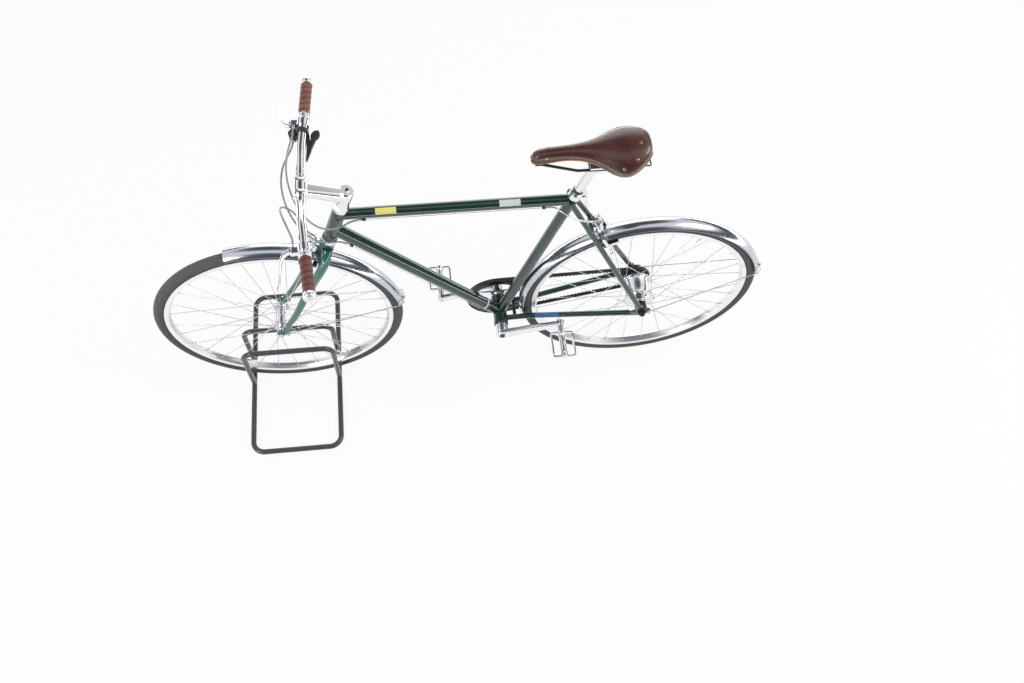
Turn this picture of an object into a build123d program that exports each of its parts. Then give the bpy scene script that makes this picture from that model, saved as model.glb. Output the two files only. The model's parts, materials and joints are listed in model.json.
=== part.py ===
# City bicycle with a belt drive and a geared rear hub, standing in a tubular wheel stand.
# Millimetres. +X is forward, +Y is the rider's left, +Z is up. The floor is z = 0.
from build123d import *
from math import ceil, cos, floor, pi, radians, sin, tan
import os

os.makedirs("parts", exist_ok=True)

# Layout
tyre_radius = 343.0
bracket_room = 61.0
toe_room = 281.0
bracket_drop = 58.0
centre_shift = 8.0
seat_angle = 72.7
head_angle = 71.5
fork_rake = 53.0

# General fits
weld_gap = 0.2
seat_gap = 0.3
bearing_gap = 0.08

# Wheels
tyre_width = 32.0
tyre_seat_width = 20.0
rim_width = 24.0
rim_lip_height = 8.0
rim_wall = 9.0
spoke_count = 32
spoke_radius = 1.0
front_flange_radius = 22.0
front_flange_offset = 32.0
front_barrel_radius = 13.0
front_hub_width = 88.0
front_axle_radius = 4.5
front_dropout_spacing = 100.0
rear_flange_radius = 46.0
rear_flange_offset = 29.0
rear_barrel_radius = 36.0
rear_axle_radius = 5.0
rear_dropout_spacing = 135.0
flange_thickness = 3.2
spoke_hole_edge = 4.5
spoke_lift = 1.1
spoke_rim_offset = 1.5
rear_hub_left = 47.0
hub_neck_radius = 21.0
hub_cap_radius = 17.0
hub_cap_width = 13.0
driver_radius = 17.0

# Frame tubes
top_tube_radius = 14.3
top_tube_drop = 22.4
down_tube_radius = 17.0
down_tube_rise = 39.5
seat_tube_radius = 14.3
seat_lug_height = 25.0
head_tube_radius = 18.0
head_tube_bore = 30.0
head_tube_length = 120.0
shell_radius = 20.0
shell_width = 73.0
chain_stay_radius = 8.0
seat_stay_radius = 7.5
dropout_thickness = 6.0
shell_cup_width = 10.0
top_cup_height = 8.0
brake_share = 0.28
brake_bridge_radius = 6.0
eyelet_reach = 20.0
eyelet_radius = 2.6
rack_eyelet_turn = 112.0
screw_radius = 2.5

# Steering
steerer_radius = 14.3
cup_height = 12.0
cup_radius = 20.0
stem_sleeve_height = 62.0
stem_sleeve_radius = 18.5
stem_reach = 104.0
bar_lift = 56.6
bar_radius = 11.1
bar_clamp_radius = 12.7
bar_half_width = 309.0
bar_rise = 22.0
bar_sweep = 21.0
bar_shoulder = 105.0
clamp_width = 50.0
crown_room = 29.0
crown_height = 35.7
brake_bolt_rise = 18.0
brake_seat = 21.0
brake_bolt_radius = 3.0
caliper_front = 19.0
caliper_thickness = 9.0
pad_length = 46.0
pad_thickness = 8.0
pad_height = 10.0
lever_inboard = 128.0
lever_length = 30.0
lever_width = 15.0
shifter_inboard = 150.0
shifter_boss = 16.0
pad_gap = 2.0
grip_radius = 15.5
grip_length = 92.0
collar_width = 12.0

# Drive
belt_pitch = 11.0
belt_width = 10.0
belt_line = 50.0
belt_back = 1.6
belt_front = 0.8
belt_tooth = 3.2
ring_teeth = 52
cog_teeth = 24
sprocket_width = 9.0
ring_inner_radius = 72.0
spider_arms = 5
spider_bolt_radius = 64.0
tab_thickness = 3.0
ring_bolt_radius = 4.0
spindle_radius = 12.0
left_boss_start = 52.0
crank_length = 170.0
crank_inner = 72.0
crank_thickness = 13.0
crank_turn = 13.0
crank_round = 3.5
recess_radius = 11.0
recess_depth = 6.0
pedal_axle_radius = 6.0
pedal_inner = 108.0
pedal_width = 80.0
pedal_length = 66.0
pedal_plate = 4.0
pedal_height = 18.0
pedal_web = 4.0
pedal_web_height = 9.0
barrel_radius = 11.5

# Seat
post_radius = 12.6
post_insertion = 102.0
post_exposed = 116.0
rail_radius = 3.5
rail_half_spacing = 22.0
saddle_thickness = 4.5

# Fenders
fender_gap = 8.5
fender_width = 44.0
fender_wall = 1.4
fender_drop = 12.0
fender_wire = 1.6
front_stay_turn = 170.0
rear_stay_turn = 164.0
eye_thickness = 6.0

# Wheel stand
stand_tube_radius = 8.0
stand_width = 540.0
stand_depth = 262.0
stand_corner = 34.0
stand_lead = 123.0
hoop_height = 210.0
hoop_gap = 76.0
hoop_corner = 30.0

# Cables
housing_radius = 2.4
wire_radius = 0.8
stop_radius = 3.6
stop_length = 9.0
stop_sink = 0.6
stop_turn = 45.0
top_stop_front = 65.5
top_stop_rear = 67.7
down_stop_front = 75.8
down_stop_rear = 62.0
barrel_side = 22.0
barrel_top = 19.0
cable_gap = 0.4

# Worked out from the layout
stay_reach = tyre_radius + bracket_room
wheelbase = stay_reach + toe_room + tyre_radius
rear_axle_x = centre_shift - wheelbase / 2
bracket_z = tyre_radius - bracket_drop
fender_radius = tyre_radius + fender_gap
crown_low = tyre_radius + crown_room
brake_bolt_height = crown_low + brake_bolt_rise
head_tube_low = crown_low + crown_height + seat_gap + cup_height
rear_axle = Vector(rear_axle_x, 0, tyre_radius)
front_axle = Vector(rear_axle_x + wheelbase, 0, tyre_radius)
bracket = Vector(rear_axle_x + stay_reach, 0, bracket_z)
left = Vector(0, 1, 0)
steer_up = Vector(-cos(radians(head_angle)), 0, sin(radians(head_angle)))
steer_forward = Vector(sin(radians(head_angle)), 0, cos(radians(head_angle)))
steer_foot = front_axle - steer_forward * fork_rake
seat_up = Vector(-cos(radians(seat_angle)), 0, sin(radians(seat_angle)))
head_tube_high = head_tube_low + head_tube_length
top_tube_z = steer_foot.Z + steer_up.Z * (head_tube_high - top_tube_drop)
seat_tube_top_z = top_tube_z + seat_lug_height
post_low_z = seat_tube_top_z - post_insertion
rail_z = seat_tube_top_z + post_exposed
stand_back = front_axle.X - stand_lead
ring_radius = ring_teeth * belt_pitch / (2 * pi)
cog_radius = cog_teeth * belt_pitch / (2 * pi)
caliper_middle = caliper_front - caliper_thickness / 2


def on_steerer(height, forward=0.0, side=0.0):
    return steer_foot + steer_up * height + steer_forward * forward + left * side


def on_seat_tube(z, side=0.0):
    return bracket + seat_up * ((z - bracket_z) / seat_up.Z) + left * side


def from_rear(x, y, z):
    return Vector(rear_axle_x + x, y, z)


def from_bar(x, y, z):
    return bar_centre() + Vector(x, y, z)


# A point so far from an axle, in a side view, on one side.
def round_axle(axle, turn, reach, side=0.0):
    return axle + Vector(reach * cos(radians(turn)), side, reach * sin(radians(turn)))


# A point given in the axes of a placed piece.
def within(place, x, y=0.0, z=0.0):
    return place.from_local_coords(Vector(x, y, z))


def rod(start, end, radius, end_radius=None):
    run = end - start
    place = Plane(origin=start, z_dir=run)
    if end_radius is None:
        return Solid.make_cylinder(radius, run.length, place)
    return Solid.make_cone(radius, end_radius, run.length, place)


def bent_rod(points, bend, radius):
    path = FilletPolyline(*points, radius=bend)
    section = Plane(origin=path @ 0, z_dir=path % 0) * Circle(radius)
    return sweep(section, path=path)


def turned(points, centre):
    outline = Plane.XY * make_face(Polyline(*points, close=True))
    return Pos(*centre) * revolve(outline, Axis.Y, 360)


def save(name, *shapes):
    shape = shapes[0] if len(shapes) == 1 else Compound(children=list(shapes))
    export_step(shape, f"parts/{name}.step")


# Wheels
def tyre(centre):
    side = tyre_width / 2
    seat = tyre_seat_width / 2
    bead = tyre_radius - tyre_width - 4
    crown = tyre_radius - side
    with BuildSketch(Plane.XY) as section:
        with BuildLine():
            Polyline((crown, side), (bead + 14, seat + 2), (bead + 12, seat), (bead, seat))
            Line((bead, seat), (bead, -seat))
            Polyline((bead, -seat), (bead + 12, -seat), (bead + 14, -seat - 2), (crown, -side))
            ThreePointArc((crown, -side), (tyre_radius, 0), (crown, side))
        make_face()
    return Pos(*centre) * revolve(section.sketch, Axis.Y, 360)


def rim(centre):
    seat = tyre_seat_width / 2 + seat_gap
    bead = tyre_radius - tyre_width - 4 - seat_gap
    lip = bead + rim_lip_height
    half = rim_width / 2
    inner = bead - rim_wall
    outline = [
        (bead, 0), (bead, seat), (lip, seat), (lip, half), (inner + 5, half), (inner, 5),
        (inner, -5), (inner + 5, -half), (lip, -half), (lip, -seat), (bead, -seat),
    ]
    return turned(outline, centre)


def rim_inner_radius():
    return tyre_radius - tyre_width - 4 - seat_gap - rim_wall


# A spoke runs from the flange's hole circle to the rim, leaning ahead or behind the radius.
def spokes(centre, flange_radius, flange_offset, cross_turn):
    hole_radius = flange_radius - spoke_hole_edge
    reach = rim_inner_radius() - seat_gap
    shapes = []
    for number in range(spoke_count):
        side = 1 if number % 2 == 0 else -1
        outward = 1 if (number // 2) % 2 == 0 else -1
        rim_turn = radians(360 / spoke_count * number)
        hub_turn = rim_turn + outward * radians(cross_turn)
        lift = flange_thickness / 2 + spoke_radius + seat_gap
        if outward > 0:
            lift += spoke_lift
        start = Vector(hole_radius * cos(hub_turn), 0, hole_radius * sin(hub_turn))
        start += left * side * (flange_offset + outward * lift)
        end = Vector(reach * cos(rim_turn), 0, reach * sin(rim_turn))
        end += left * side * spoke_rim_offset
        place = Plane(origin=centre + start, z_dir=end - start)
        section = place * RegularPolygon(spoke_radius, 6)
        shapes.append(extrude(section, (end - start).length))
    return shapes


def front_hub():
    bore = front_axle_radius + bearing_gap
    half = front_hub_width / 2
    inner = front_flange_offset - flange_thickness / 2
    outer = front_flange_offset + flange_thickness / 2
    profile = [
        (bore, half), (front_barrel_radius - 2, half), (front_barrel_radius - 2, outer),
        (front_flange_radius, outer), (front_flange_radius, inner),
        (front_barrel_radius + 1, inner), (front_barrel_radius, inner - 4),
    ]
    lower = [(radius, -y) for radius, y in reversed(profile)]
    return turned(profile + lower, front_axle)


def rear_hub():
    bore = rear_axle_radius + bearing_gap
    inner = rear_flange_offset - flange_thickness / 2
    outer = rear_flange_offset + flange_thickness / 2
    driver = belt_line + sprocket_width / 2 + 2
    profile = [
        (bore, rear_hub_left), (hub_neck_radius, rear_hub_left), (hub_neck_radius, outer + 8),
        (rear_barrel_radius - 9, outer + 6), (rear_barrel_radius - 4, outer),
        (rear_flange_radius, outer), (rear_flange_radius, inner), (rear_barrel_radius + 2, inner),
        (rear_barrel_radius, inner - 4), (rear_barrel_radius, 4 - inner),
        (rear_barrel_radius + 2, -inner), (rear_flange_radius, -inner),
        (rear_flange_radius, -outer), (rear_barrel_radius - 4, -outer),
        (rear_barrel_radius - 8, -outer - 6), (driver_radius, -outer - 6),
        (driver_radius, -driver), (bore, -driver),
    ]
    return turned(profile, rear_axle)


# The fixed cap over the hub's left bearing.
def rear_hub_cap():
    bore = rear_axle_radius + 0.15
    start = rear_hub_left + seat_gap
    end = start + hub_cap_width
    profile = [
        (bore, start), (hub_cap_radius, start), (hub_cap_radius, end - 4),
        (hub_cap_radius - 3, end), (bore, end),
    ]
    return turned(profile, rear_axle)


def front_axle_set():
    inner = front_dropout_spacing / 2
    outer = inner + dropout_thickness
    axle = rod(front_axle - left * (outer + 9), front_axle + left * (outer + 9), front_axle_radius)
    for side in (1, -1):
        cone = rod(
            front_axle + left * side * (front_hub_width / 2 + seat_gap),
            front_axle + left * side * (inner - 0.1),
            8,
        )
        axle += cone
        nut_place = Plane(origin=front_axle + left * side * (outer + 0.1), z_dir=left * side)
        axle += extrude(nut_place * RegularPolygon(8.5, 6), 7)
    return axle


def rear_axle_set():
    inner = rear_dropout_spacing / 2
    outer = inner + dropout_thickness
    axle = rod(rear_axle - left * (outer + 13), rear_axle + left * (outer + 13), rear_axle_radius)
    driver_end = belt_line + sprocket_width / 2 + 2 + seat_gap
    cap_end = rear_hub_left + hub_cap_width + 2 * seat_gap
    axle += rod(rear_axle - left * (inner - 0.1), rear_axle - left * driver_end, 9)
    axle += rod(rear_axle + left * cap_end, rear_axle + left * (inner - 0.1), 9)
    for side in (1, -1):
        nut_place = Plane(origin=rear_axle + left * side * (outer + 0.1), z_dir=left * side)
        axle += extrude(nut_place * Circle(12), 2.5)
        axle += extrude(nut_place * RegularPolygon(9.5, 6), 9)
    return axle


# A flat outline that wraps two circles, as a belt or a tapered arm does.
def strap(centre_a, radius_a, centre_b, radius_b):
    span = Vector(centre_b[0] - centre_a[0], centre_b[1] - centre_a[1])
    along = span.normalized()
    across = Vector(-along.Y, along.X)
    lean = (radius_a - radius_b) / span.length
    rise = (1 - lean * lean) ** 0.5
    upper = along * lean + across * rise
    lower = along * lean - across * rise
    a = Vector(*centre_a)
    b = Vector(*centre_b)
    edges = [
        Line(a + upper * radius_a, b + upper * radius_b),
        ThreePointArc(b + upper * radius_b, b + along * radius_b, b + lower * radius_b),
        Line(b + lower * radius_b, a + lower * radius_a),
        ThreePointArc(a + lower * radius_a, a - along * radius_a, a + upper * radius_a),
    ]
    return make_face(edges)


# A flat side-view outline made solid between two places across the bicycle.
def slab(face, y_low, y_high):
    return Pos(0, y_high, 0) * extrude(Plane.XZ * face, y_high - y_low)


def side_view(place):
    return (place.X, place.Z)


# Drive
def toothed_outline(teeth, pitch_radius):
    tip = pitch_radius - belt_front - seat_gap
    root = tip - belt_tooth - 0.4
    points = []
    for tooth in range(teeth):
        for share, radius in ((-0.30, root), (-0.17, tip), (0.17, tip), (0.30, root)):
            turn = 2 * pi * (tooth + share) / teeth
            points.append((radius * cos(turn), radius * sin(turn)))
    return make_face(Polyline(*points, close=True))


def spider_point(arm, reach):
    return side_view(round_axle(bracket, crank_turn + 180 + 360 / spider_arms * (arm + 0.5), reach))


def belt_ring():
    y_mid = -belt_line
    low = y_mid - sprocket_width / 2
    high = y_mid + sprocket_width / 2
    band = toothed_outline(ring_teeth, ring_radius) - Circle(ring_inner_radius)
    rim_face = Pos(*side_view(bracket)) * band
    ring = slab(rim_face, low, high)
    for arm in range(spider_arms):
        bolt = spider_point(arm, spider_bolt_radius)
        tab = strap(spider_point(arm, ring_inner_radius + 4), 10, bolt, 7.5)
        ring += slab(tab, low, low + tab_thickness)
        ring -= slab(Pos(*bolt) * Circle(ring_bolt_radius + 0.2), low - 1, high + 1)
    return ring


def rear_cog():
    y_mid = -belt_line
    low = y_mid - sprocket_width / 2
    high = y_mid + sprocket_width / 2
    hub = side_view(rear_axle)
    rim_face = Pos(*hub) * (toothed_outline(cog_teeth, cog_radius) - Circle(cog_radius - 11))
    web_face = Pos(*hub) * (Circle(cog_radius - 10) - Circle(driver_radius + 0.15))
    return slab(rim_face, low, high) + slab(web_face, y_mid - 2, y_mid + 2)


def belt():
    hub_a = side_view(bracket)
    hub_b = side_view(rear_axle)
    back = strap(hub_a, ring_radius + belt_back, hub_b, cog_radius + belt_back)
    front = strap(hub_a, ring_radius - belt_front, hub_b, cog_radius - belt_front)
    span = Vector(hub_b[0] - hub_a[0], hub_b[1] - hub_a[1])
    along = span.normalized()
    across = Vector(-along.Y, along.X)
    lean = (ring_radius - cog_radius) / span.length
    rise = (1 - lean * lean) ** 0.5
    run = span.length * rise
    ring_clear = (belt_tooth * (2 * ring_radius - belt_tooth - 2 * belt_front)) ** 0.5
    cog_clear = (belt_tooth * (2 * cog_radius - belt_tooth - 2 * belt_front)) ** 0.5
    first = ceil((ring_clear + belt_pitch / 2) / belt_pitch)
    last = floor((run - cog_clear - belt_pitch / 2) / belt_pitch)
    band = back - front
    teeth = []
    for side in (1, -1):
        normal = along * lean + across * (rise * side)
        run_way = along * rise - across * (lean * side)
        for tooth in range(first, last + 1):
            foot = Vector(*hub_a) + normal * (ring_radius - belt_front + 0.2) + run_way * (tooth * belt_pitch)
            tip = foot - normal * (belt_tooth + 0.2)
            corners = [
                foot - run_way * 3.2, foot + run_way * 3.2, tip + run_way * 2.0, tip - run_way * 2.0,
            ]
            teeth.append(make_face(Polyline(*[(corner.X, corner.Y) for corner in corners], close=True)))
    face = band + teeth
    return slab(face, -belt_line - belt_width / 2, -belt_line + belt_width / 2)


def crank_arm(turn, y_inner, y_outer):
    hub = side_view(bracket)
    eye = (hub[0] + crank_length * cos(turn), hub[1] + crank_length * sin(turn))
    arm = slab(strap(hub, 18, eye, 11.5), y_inner, y_outer)
    faces = arm.faces().sort_by(Axis.Y)
    arm = fillet(faces[0].edges() + faces[-1].edges(), crank_round)
    arm += slab(Pos(*eye) * Circle(13), y_inner, y_outer)
    return arm - slab(Pos(*eye) * Circle(pedal_axle_radius + 0.2), y_inner - 1, y_outer + 1)


# The recess in a crank's outer face, with the head of the bolt that holds it.
def crank_recess(side):
    face = crank_inner + crank_thickness
    floor_y = side * (face - recess_depth)
    recess = rod(bracket + left * floor_y, bracket + left * side * (face + 1), recess_radius)
    head = rod(bracket + left * (floor_y - side), bracket + left * side * (face - 2.5), 8)
    return recess - head


def right_crank():
    turn = radians(-crank_turn)
    seat = -belt_line - sprocket_width / 2
    crank = crank_arm(turn, -crank_inner - crank_thickness, -crank_inner)
    crank += rod(bracket + left * (seat - 5), bracket - left * (crank_inner + 1), 20)
    for arm in range(spider_arms):
        bolt = spider_point(arm, spider_bolt_radius)
        waist = spider_point(arm, spider_bolt_radius * 0.68)
        crank += slab(strap(side_view(bracket), 16, waist, 6), seat - 5, seat)
        crank += slab(strap(waist, 6, bolt, 8), seat - 5, seat)
        crank += slab(Pos(*bolt) * Circle(ring_bolt_radius), seat - 5, seat + tab_thickness + 2)
        crank += slab(Pos(*bolt) * Circle(ring_bolt_radius + 2), seat - 6.5, seat - 5)
    crank += rod(bracket - left * (crank_inner + 1), bracket + left * (crank_inner + 4), spindle_radius)
    return crank - crank_recess(-1)


def left_crank():
    turn = radians(180 - crank_turn)
    crank = crank_arm(turn, crank_inner, crank_inner + crank_thickness)
    crank += rod(bracket + left * left_boss_start, bracket + left * (crank_inner + 1), 19)
    crank -= rod(bracket + left * 40, bracket + left * (crank_inner + 4.2), spindle_radius + 0.1)
    return crank - crank_recess(1)


def pedal_place(side):
    turn = radians(180 - crank_turn) if side > 0 else radians(-crank_turn)
    return bracket + Vector(crank_length * cos(turn), 0, crank_length * sin(turn))


def pedal_axle(side):
    place = pedal_place(side)
    end = pedal_inner + pedal_width - 6
    axle = rod(place + left * side * (crank_inner + 0.5), place + left * side * end, pedal_axle_radius)
    collar_start = crank_inner + crank_thickness + 0.1
    axle += rod(place + left * side * collar_start, place + left * side * (pedal_inner - 0.5), 8.5)
    return axle


# A cage pedal: two rails and two cross pieces round a barrel that turns on the axle.
def pedal(side):
    place = pedal_place(side)
    middle = place + left * side * (pedal_inner + pedal_width / 2)
    ring = RectangleRounded(pedal_length, pedal_width, 7)
    ring -= RectangleRounded(pedal_length - 2 * pedal_plate, pedal_width - 2 * pedal_web, 4)
    cage = extrude(ring, pedal_web_height / 2, both=True)
    for end in (-1, 1):
        rail = fillet(Box(pedal_plate, pedal_width - 12, pedal_height).edges().filter_by(Axis.X), 4)
        cage += Pos(end * (pedal_length - pedal_plate) / 2, 0, 0) * rail
    body = Pos(*middle) * cage
    waist = barrel_radius - 2
    half = pedal_width / 2
    profile = [
        (0, half), (barrel_radius - 1, half), (barrel_radius, half - 8), (waist, half - 14),
        (waist, 14 - half), (barrel_radius, 8 - half), (barrel_radius, -half), (0, -half),
    ]
    body += turned(profile, middle)
    bore_start = place + left * side * (pedal_inner - 1)
    bore_end = place + left * side * (pedal_inner + pedal_width - 5)
    return body - rod(bore_start, bore_end, pedal_axle_radius + bearing_gap)


# Frame
def head_tube():
    tube = rod(on_steerer(head_tube_low), on_steerer(head_tube_high), head_tube_radius)
    return tube - rod(on_steerer(head_tube_low - 1), on_steerer(head_tube_high + 1), head_tube_bore / 2)


def head_tube_cut():
    return rod(on_steerer(head_tube_low - 20), on_steerer(head_tube_high + 20), head_tube_radius + weld_gap)


def seat_tube_cut():
    low = on_seat_tube(bracket_z - 10)
    return rod(low, on_seat_tube(seat_tube_top_z + 60), seat_tube_radius + weld_gap)


def shell_cut():
    reach = left * shell_width
    return rod(bracket - reach, bracket + reach, shell_radius + weld_gap)


def top_tube():
    tube = rod(on_seat_tube(top_tube_z), top_tube_end(), top_tube_radius)
    tube += cable_stop(top_cable(top_front_stop()), Vector(1, 0, 0))
    tube += cable_stop(top_cable(top_rear_stop()), Vector(1, 0, 0))
    return tube - head_tube_cut() - seat_tube_cut() - top_cable_bore()


def top_tube_end():
    return on_steerer(head_tube_high - top_tube_drop)


# How far ahead of the rear axle the two stops of the top tube are.
def top_front_stop():
    return top_tube_end().X - rear_axle_x - top_stop_front


def top_rear_stop():
    return on_seat_tube(top_tube_z).X - rear_axle_x + top_stop_rear


# A short barrel brazed to the side of a tube, where a cable's housing ends.
def cable_stop(place, way):
    return rod(place, place + way * stop_length, stop_radius)


# Points on the bare wires, which run low on the left side of the top and the down tube.
def top_cable(x):
    out = top_tube_radius + stop_radius - stop_sink
    turn = radians(stop_turn)
    return from_rear(x, out * cos(turn), top_tube_z - out * sin(turn))


def top_cable_bore():
    return rod(top_cable(top_rear_stop() - 20), top_cable(top_front_stop() + 20), wire_radius + 0.3)


def down_way():
    return (down_tube_end() - bracket).normalized()


def down_front_stop():
    return (down_tube_end() - bracket).length - down_stop_front


def down_cable(distance):
    out = down_tube_radius + stop_radius - stop_sink
    turn = radians(stop_turn)
    way = down_way()
    under = Vector(way.Z, 0, -way.X)
    return bracket + way * distance + left * (out * cos(turn)) + under * (out * sin(turn))


def down_tube_end():
    return on_steerer(head_tube_low + down_tube_rise)


def down_tube():
    tube = rod(bracket, down_tube_end(), down_tube_radius)
    tube += cable_stop(down_cable(down_front_stop()), down_way())
    tube += cable_stop(down_cable(down_stop_rear), down_way())
    bore = rod(down_cable(down_stop_rear - 20), down_cable(down_front_stop() + 20), wire_radius + 0.3)
    return tube - head_tube_cut() - shell_cut() - bore


def seat_tube():
    tube = rod(bracket, on_seat_tube(seat_tube_top_z), seat_tube_radius) - shell_cut()
    cut = rod(bracket, down_tube_end(), down_tube_radius + weld_gap)
    bore = rod(on_seat_tube(post_low_z - 2), on_seat_tube(seat_tube_top_z + 5), post_radius + 0.15)
    return tube - cut - bore


def bracket_shell():
    reach = left * (shell_width / 2)
    cups = left * (shell_width / 2 + shell_cup_width)
    shell = rod(bracket - reach, bracket + reach, shell_radius)
    shell += rod(bracket - cups, bracket + cups, shell_radius + 1)
    cut = rod(bracket - reach, bracket + reach, shell_radius + 5)
    cut -= rod(bracket - reach, bracket + reach, shell_radius)
    shell -= cut
    return shell - rod(bracket - cups * 2, bracket + cups * 2, spindle_radius + bearing_gap)


def dropout_outline():
    hub = side_view(rear_axle)
    lug = (hub[0] + 34, hub[1] - 6)
    upper = (hub[0] + 12, hub[1] + 30)
    plate = strap(hub, 16, lug, 8) + strap(hub, 16, upper, 8)
    for turn in (rear_stay_turn, rack_eyelet_turn):
        plate += strap(hub, 14, side_view(round_axle(rear_axle, turn, eyelet_reach)), 6.5)
    return plate


def eyelet_hole(axle, turn):
    spot = round_axle(axle, turn, eyelet_reach)
    return rod(spot - left * 100, spot + left * 100, eyelet_radius)


def dropouts(side):
    inner = rear_dropout_spacing / 2
    low = min(side * inner, side * (inner + dropout_thickness))
    plate = slab(dropout_outline(), low, low + dropout_thickness)
    plate -= eyelet_hole(rear_axle, rear_stay_turn) + eyelet_hole(rear_axle, rack_eyelet_turn)
    return plate - rod(rear_axle - left * 100, rear_axle + left * 100, rear_axle_radius + 0.1)


def chain_stay(side):
    points = [
        from_rear(stay_reach - 14, side * 27, bracket_z + 3),
        from_rear(stay_reach - 94, side * 31.5, bracket_z + 13),
        from_rear(34, side * (rear_dropout_spacing / 2 + 1), tyre_radius - 5),
    ]
    stay = bent_rod(points, 260, chain_stay_radius) - shell_cut()
    return stay + dropouts(side)


def chain_stays():
    bridge_a = from_rear(stay_reach - 42, -24, bracket_z + 6)
    bridge = rod(bridge_a, bridge_a + left * 48, 5)
    return chain_stay(1) + chain_stay(-1) + bridge


def seat_stay_line(side):
    top = on_seat_tube(top_tube_z + 5, side * 20) + Vector(6.3, 0, 0)
    foot = from_rear(12, side * (rear_dropout_spacing / 2 + 2), tyre_radius + 27)
    return top, foot


def seat_stays():
    shapes = []
    for side in (1, -1):
        top, foot = seat_stay_line(side)
        shapes.append(rod(foot, top, seat_stay_radius))
    top, foot = seat_stay_line(1)
    place = top + (foot - top) * brake_share
    bridge = rod(Vector(place.X, -place.Y, place.Z), place, brake_bridge_radius)
    hole = rear_brake_place()
    bridge -= rod(within(hole, -20), within(hole, 20), brake_bolt_radius + 0.1)
    stays = shapes[0] + shapes[1] + bridge - seat_tube_cut() - dropout_clear()
    return stays - rod(on_seat_tube(top_tube_z), on_steerer(head_tube_high), top_tube_radius + weld_gap)


def dropout_clear():
    reach = rear_dropout_spacing / 2 + dropout_thickness + weld_gap
    face = dropout_outline()
    inner = rear_dropout_spacing / 2 - weld_gap
    return slab(face, inner, reach) + slab(face, -reach, -inner)


def headset():
    low = rod(on_steerer(head_tube_low - cup_height), on_steerer(head_tube_low), cup_radius)
    high = rod(on_steerer(head_tube_high), on_steerer(head_tube_high + top_cup_height), cup_radius - 1)
    bore = rod(on_steerer(head_tube_low - 20), on_steerer(head_tube_high + 20), steerer_radius + bearing_gap)
    return [low - bore, high - bore]


# Seat
def seat_post():
    post = rod(on_seat_tube(post_low_z), on_seat_tube(rail_z - 6), post_radius)
    top = on_seat_tube(rail_z)
    cradle = Pos(*(top - Vector(0, 0, 5))) * Box(42, 54, 9)
    plate = Pos(*(top + Vector(0, 0, 7))) * Box(38, 54, 6)
    bolt = rod(top - Vector(0, 0, 8), top + Vector(0, 0, 10), 4)
    clamp = cradle + plate + bolt
    for side in (1, -1):
        start, end = rail_clamp_run(side)
        clamp -= rod(start, end, rail_radius + 0.1)
    return post + clamp


def rail_clamp_run(side):
    top = on_seat_tube(rail_z)
    start = Vector(top.X - 60, side * rail_half_spacing, rail_z)
    end = Vector(top.X + 60, side * rail_half_spacing, rail_z)
    return start, end


def seat_clamp():
    low = on_seat_tube(seat_tube_top_z - 14)
    high = on_seat_tube(seat_tube_top_z + 1)
    collar = rod(low, high, seat_tube_radius + 3.2)
    collar -= rod(low - seat_up, on_seat_tube(seat_tube_top_z), seat_tube_radius + 0.15)
    collar -= rod(low, high + seat_up, post_radius + 0.15)
    mid = (low + high) / 2 - Vector(seat_tube_radius + 9, 0, 4)
    ears = Plane(origin=mid, z_dir=seat_up) * Box(14, 16, 11)
    ears -= rod(low - seat_up * 9, high + seat_up * 9, seat_tube_radius + 1)
    lever = rod(mid - left * 15, mid + left * 22, 2.6)
    lever += rod(mid - left * 20, mid - left * 15, 7)
    lever += Pos(*(mid + left * 20)) * Rot(0, 20, 0) * Box(9, 5, 44)
    return collar + ears + lever


# A point measured from the seat post's axis at the height of the saddle's rails.
def from_rails(x, y, z):
    return on_seat_tube(rail_z) + Vector(x, y, z)


def saddle_section(x, half_width, rise, drop, skirt):
    outer = arch(half_width, drop, skirt, 0)
    inner = arch(half_width - saddle_thickness, drop, skirt, saddle_thickness)
    outline = [outer, Line(outer @ 1, inner @ 1), inner, Line(inner @ 0, outer @ 0)]
    place = Plane(origin=from_rails(x, 0, rise), x_dir=(0, 1, 0), z_dir=(1, 0, 0))
    return place * make_face(outline)


# The saddle's section: a crowned top that turns down into the skirts.
def arch(half_width, drop, skirt, inset):
    shoulder = half_width * 0.72
    return Spline(
        (-half_width, -drop - skirt), (-half_width * 0.96, -drop), (-shoulder, -inset - drop * 0.28),
        (0, -inset),
        (shoulder, -inset - drop * 0.28), (half_width * 0.96, -drop), (half_width, -drop - skirt),
    )


def saddle_leather():
    stations = [
        (-120, 50, 48, 10, 22), (-92, 70, 53, 14, 30), (-52, 72, 55, 17, 34), (-4, 53, 51, 16, 30),
        (50, 30, 46, 10, 28), (112, 20, 44, 7, 24), (152, 15, 42, 5, 14),
    ]
    return loft([saddle_section(*station) for station in stations])


def saddle_frame():
    shapes = []
    for side in (1, -1):
        points = [
            from_rails(138, side * 6, 13), from_rails(48, side * rail_half_spacing, 0),
            from_rails(-44, side * rail_half_spacing, 0), from_rails(-102, side * 36, 16),
        ]
        shapes.append(bent_rod(points, 25, rail_radius))
        loop = [
            from_rails(-104, side * 16, 20), from_rails(-122, side * 16, 18), from_rails(-122, side * 34, 18),
            from_rails(-96, side * 34, 20),
        ]
        shapes.append(bent_rod(loop, 5, 1.8))
    nose = Pos(*from_rails(140, 0, 22)) * Box(14, 16, 28)
    cantle = Pos(*from_rails(-48, 0, 10)) * extrude(Circle(60) - Circle(57), 32.5)
    cantle = cantle & (Pos(*from_rails(-110, 0, 24)) * Box(68, 112, 60))
    return shapes[0] + shapes[1] + shapes[2] + shapes[3] + nose + cantle


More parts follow.
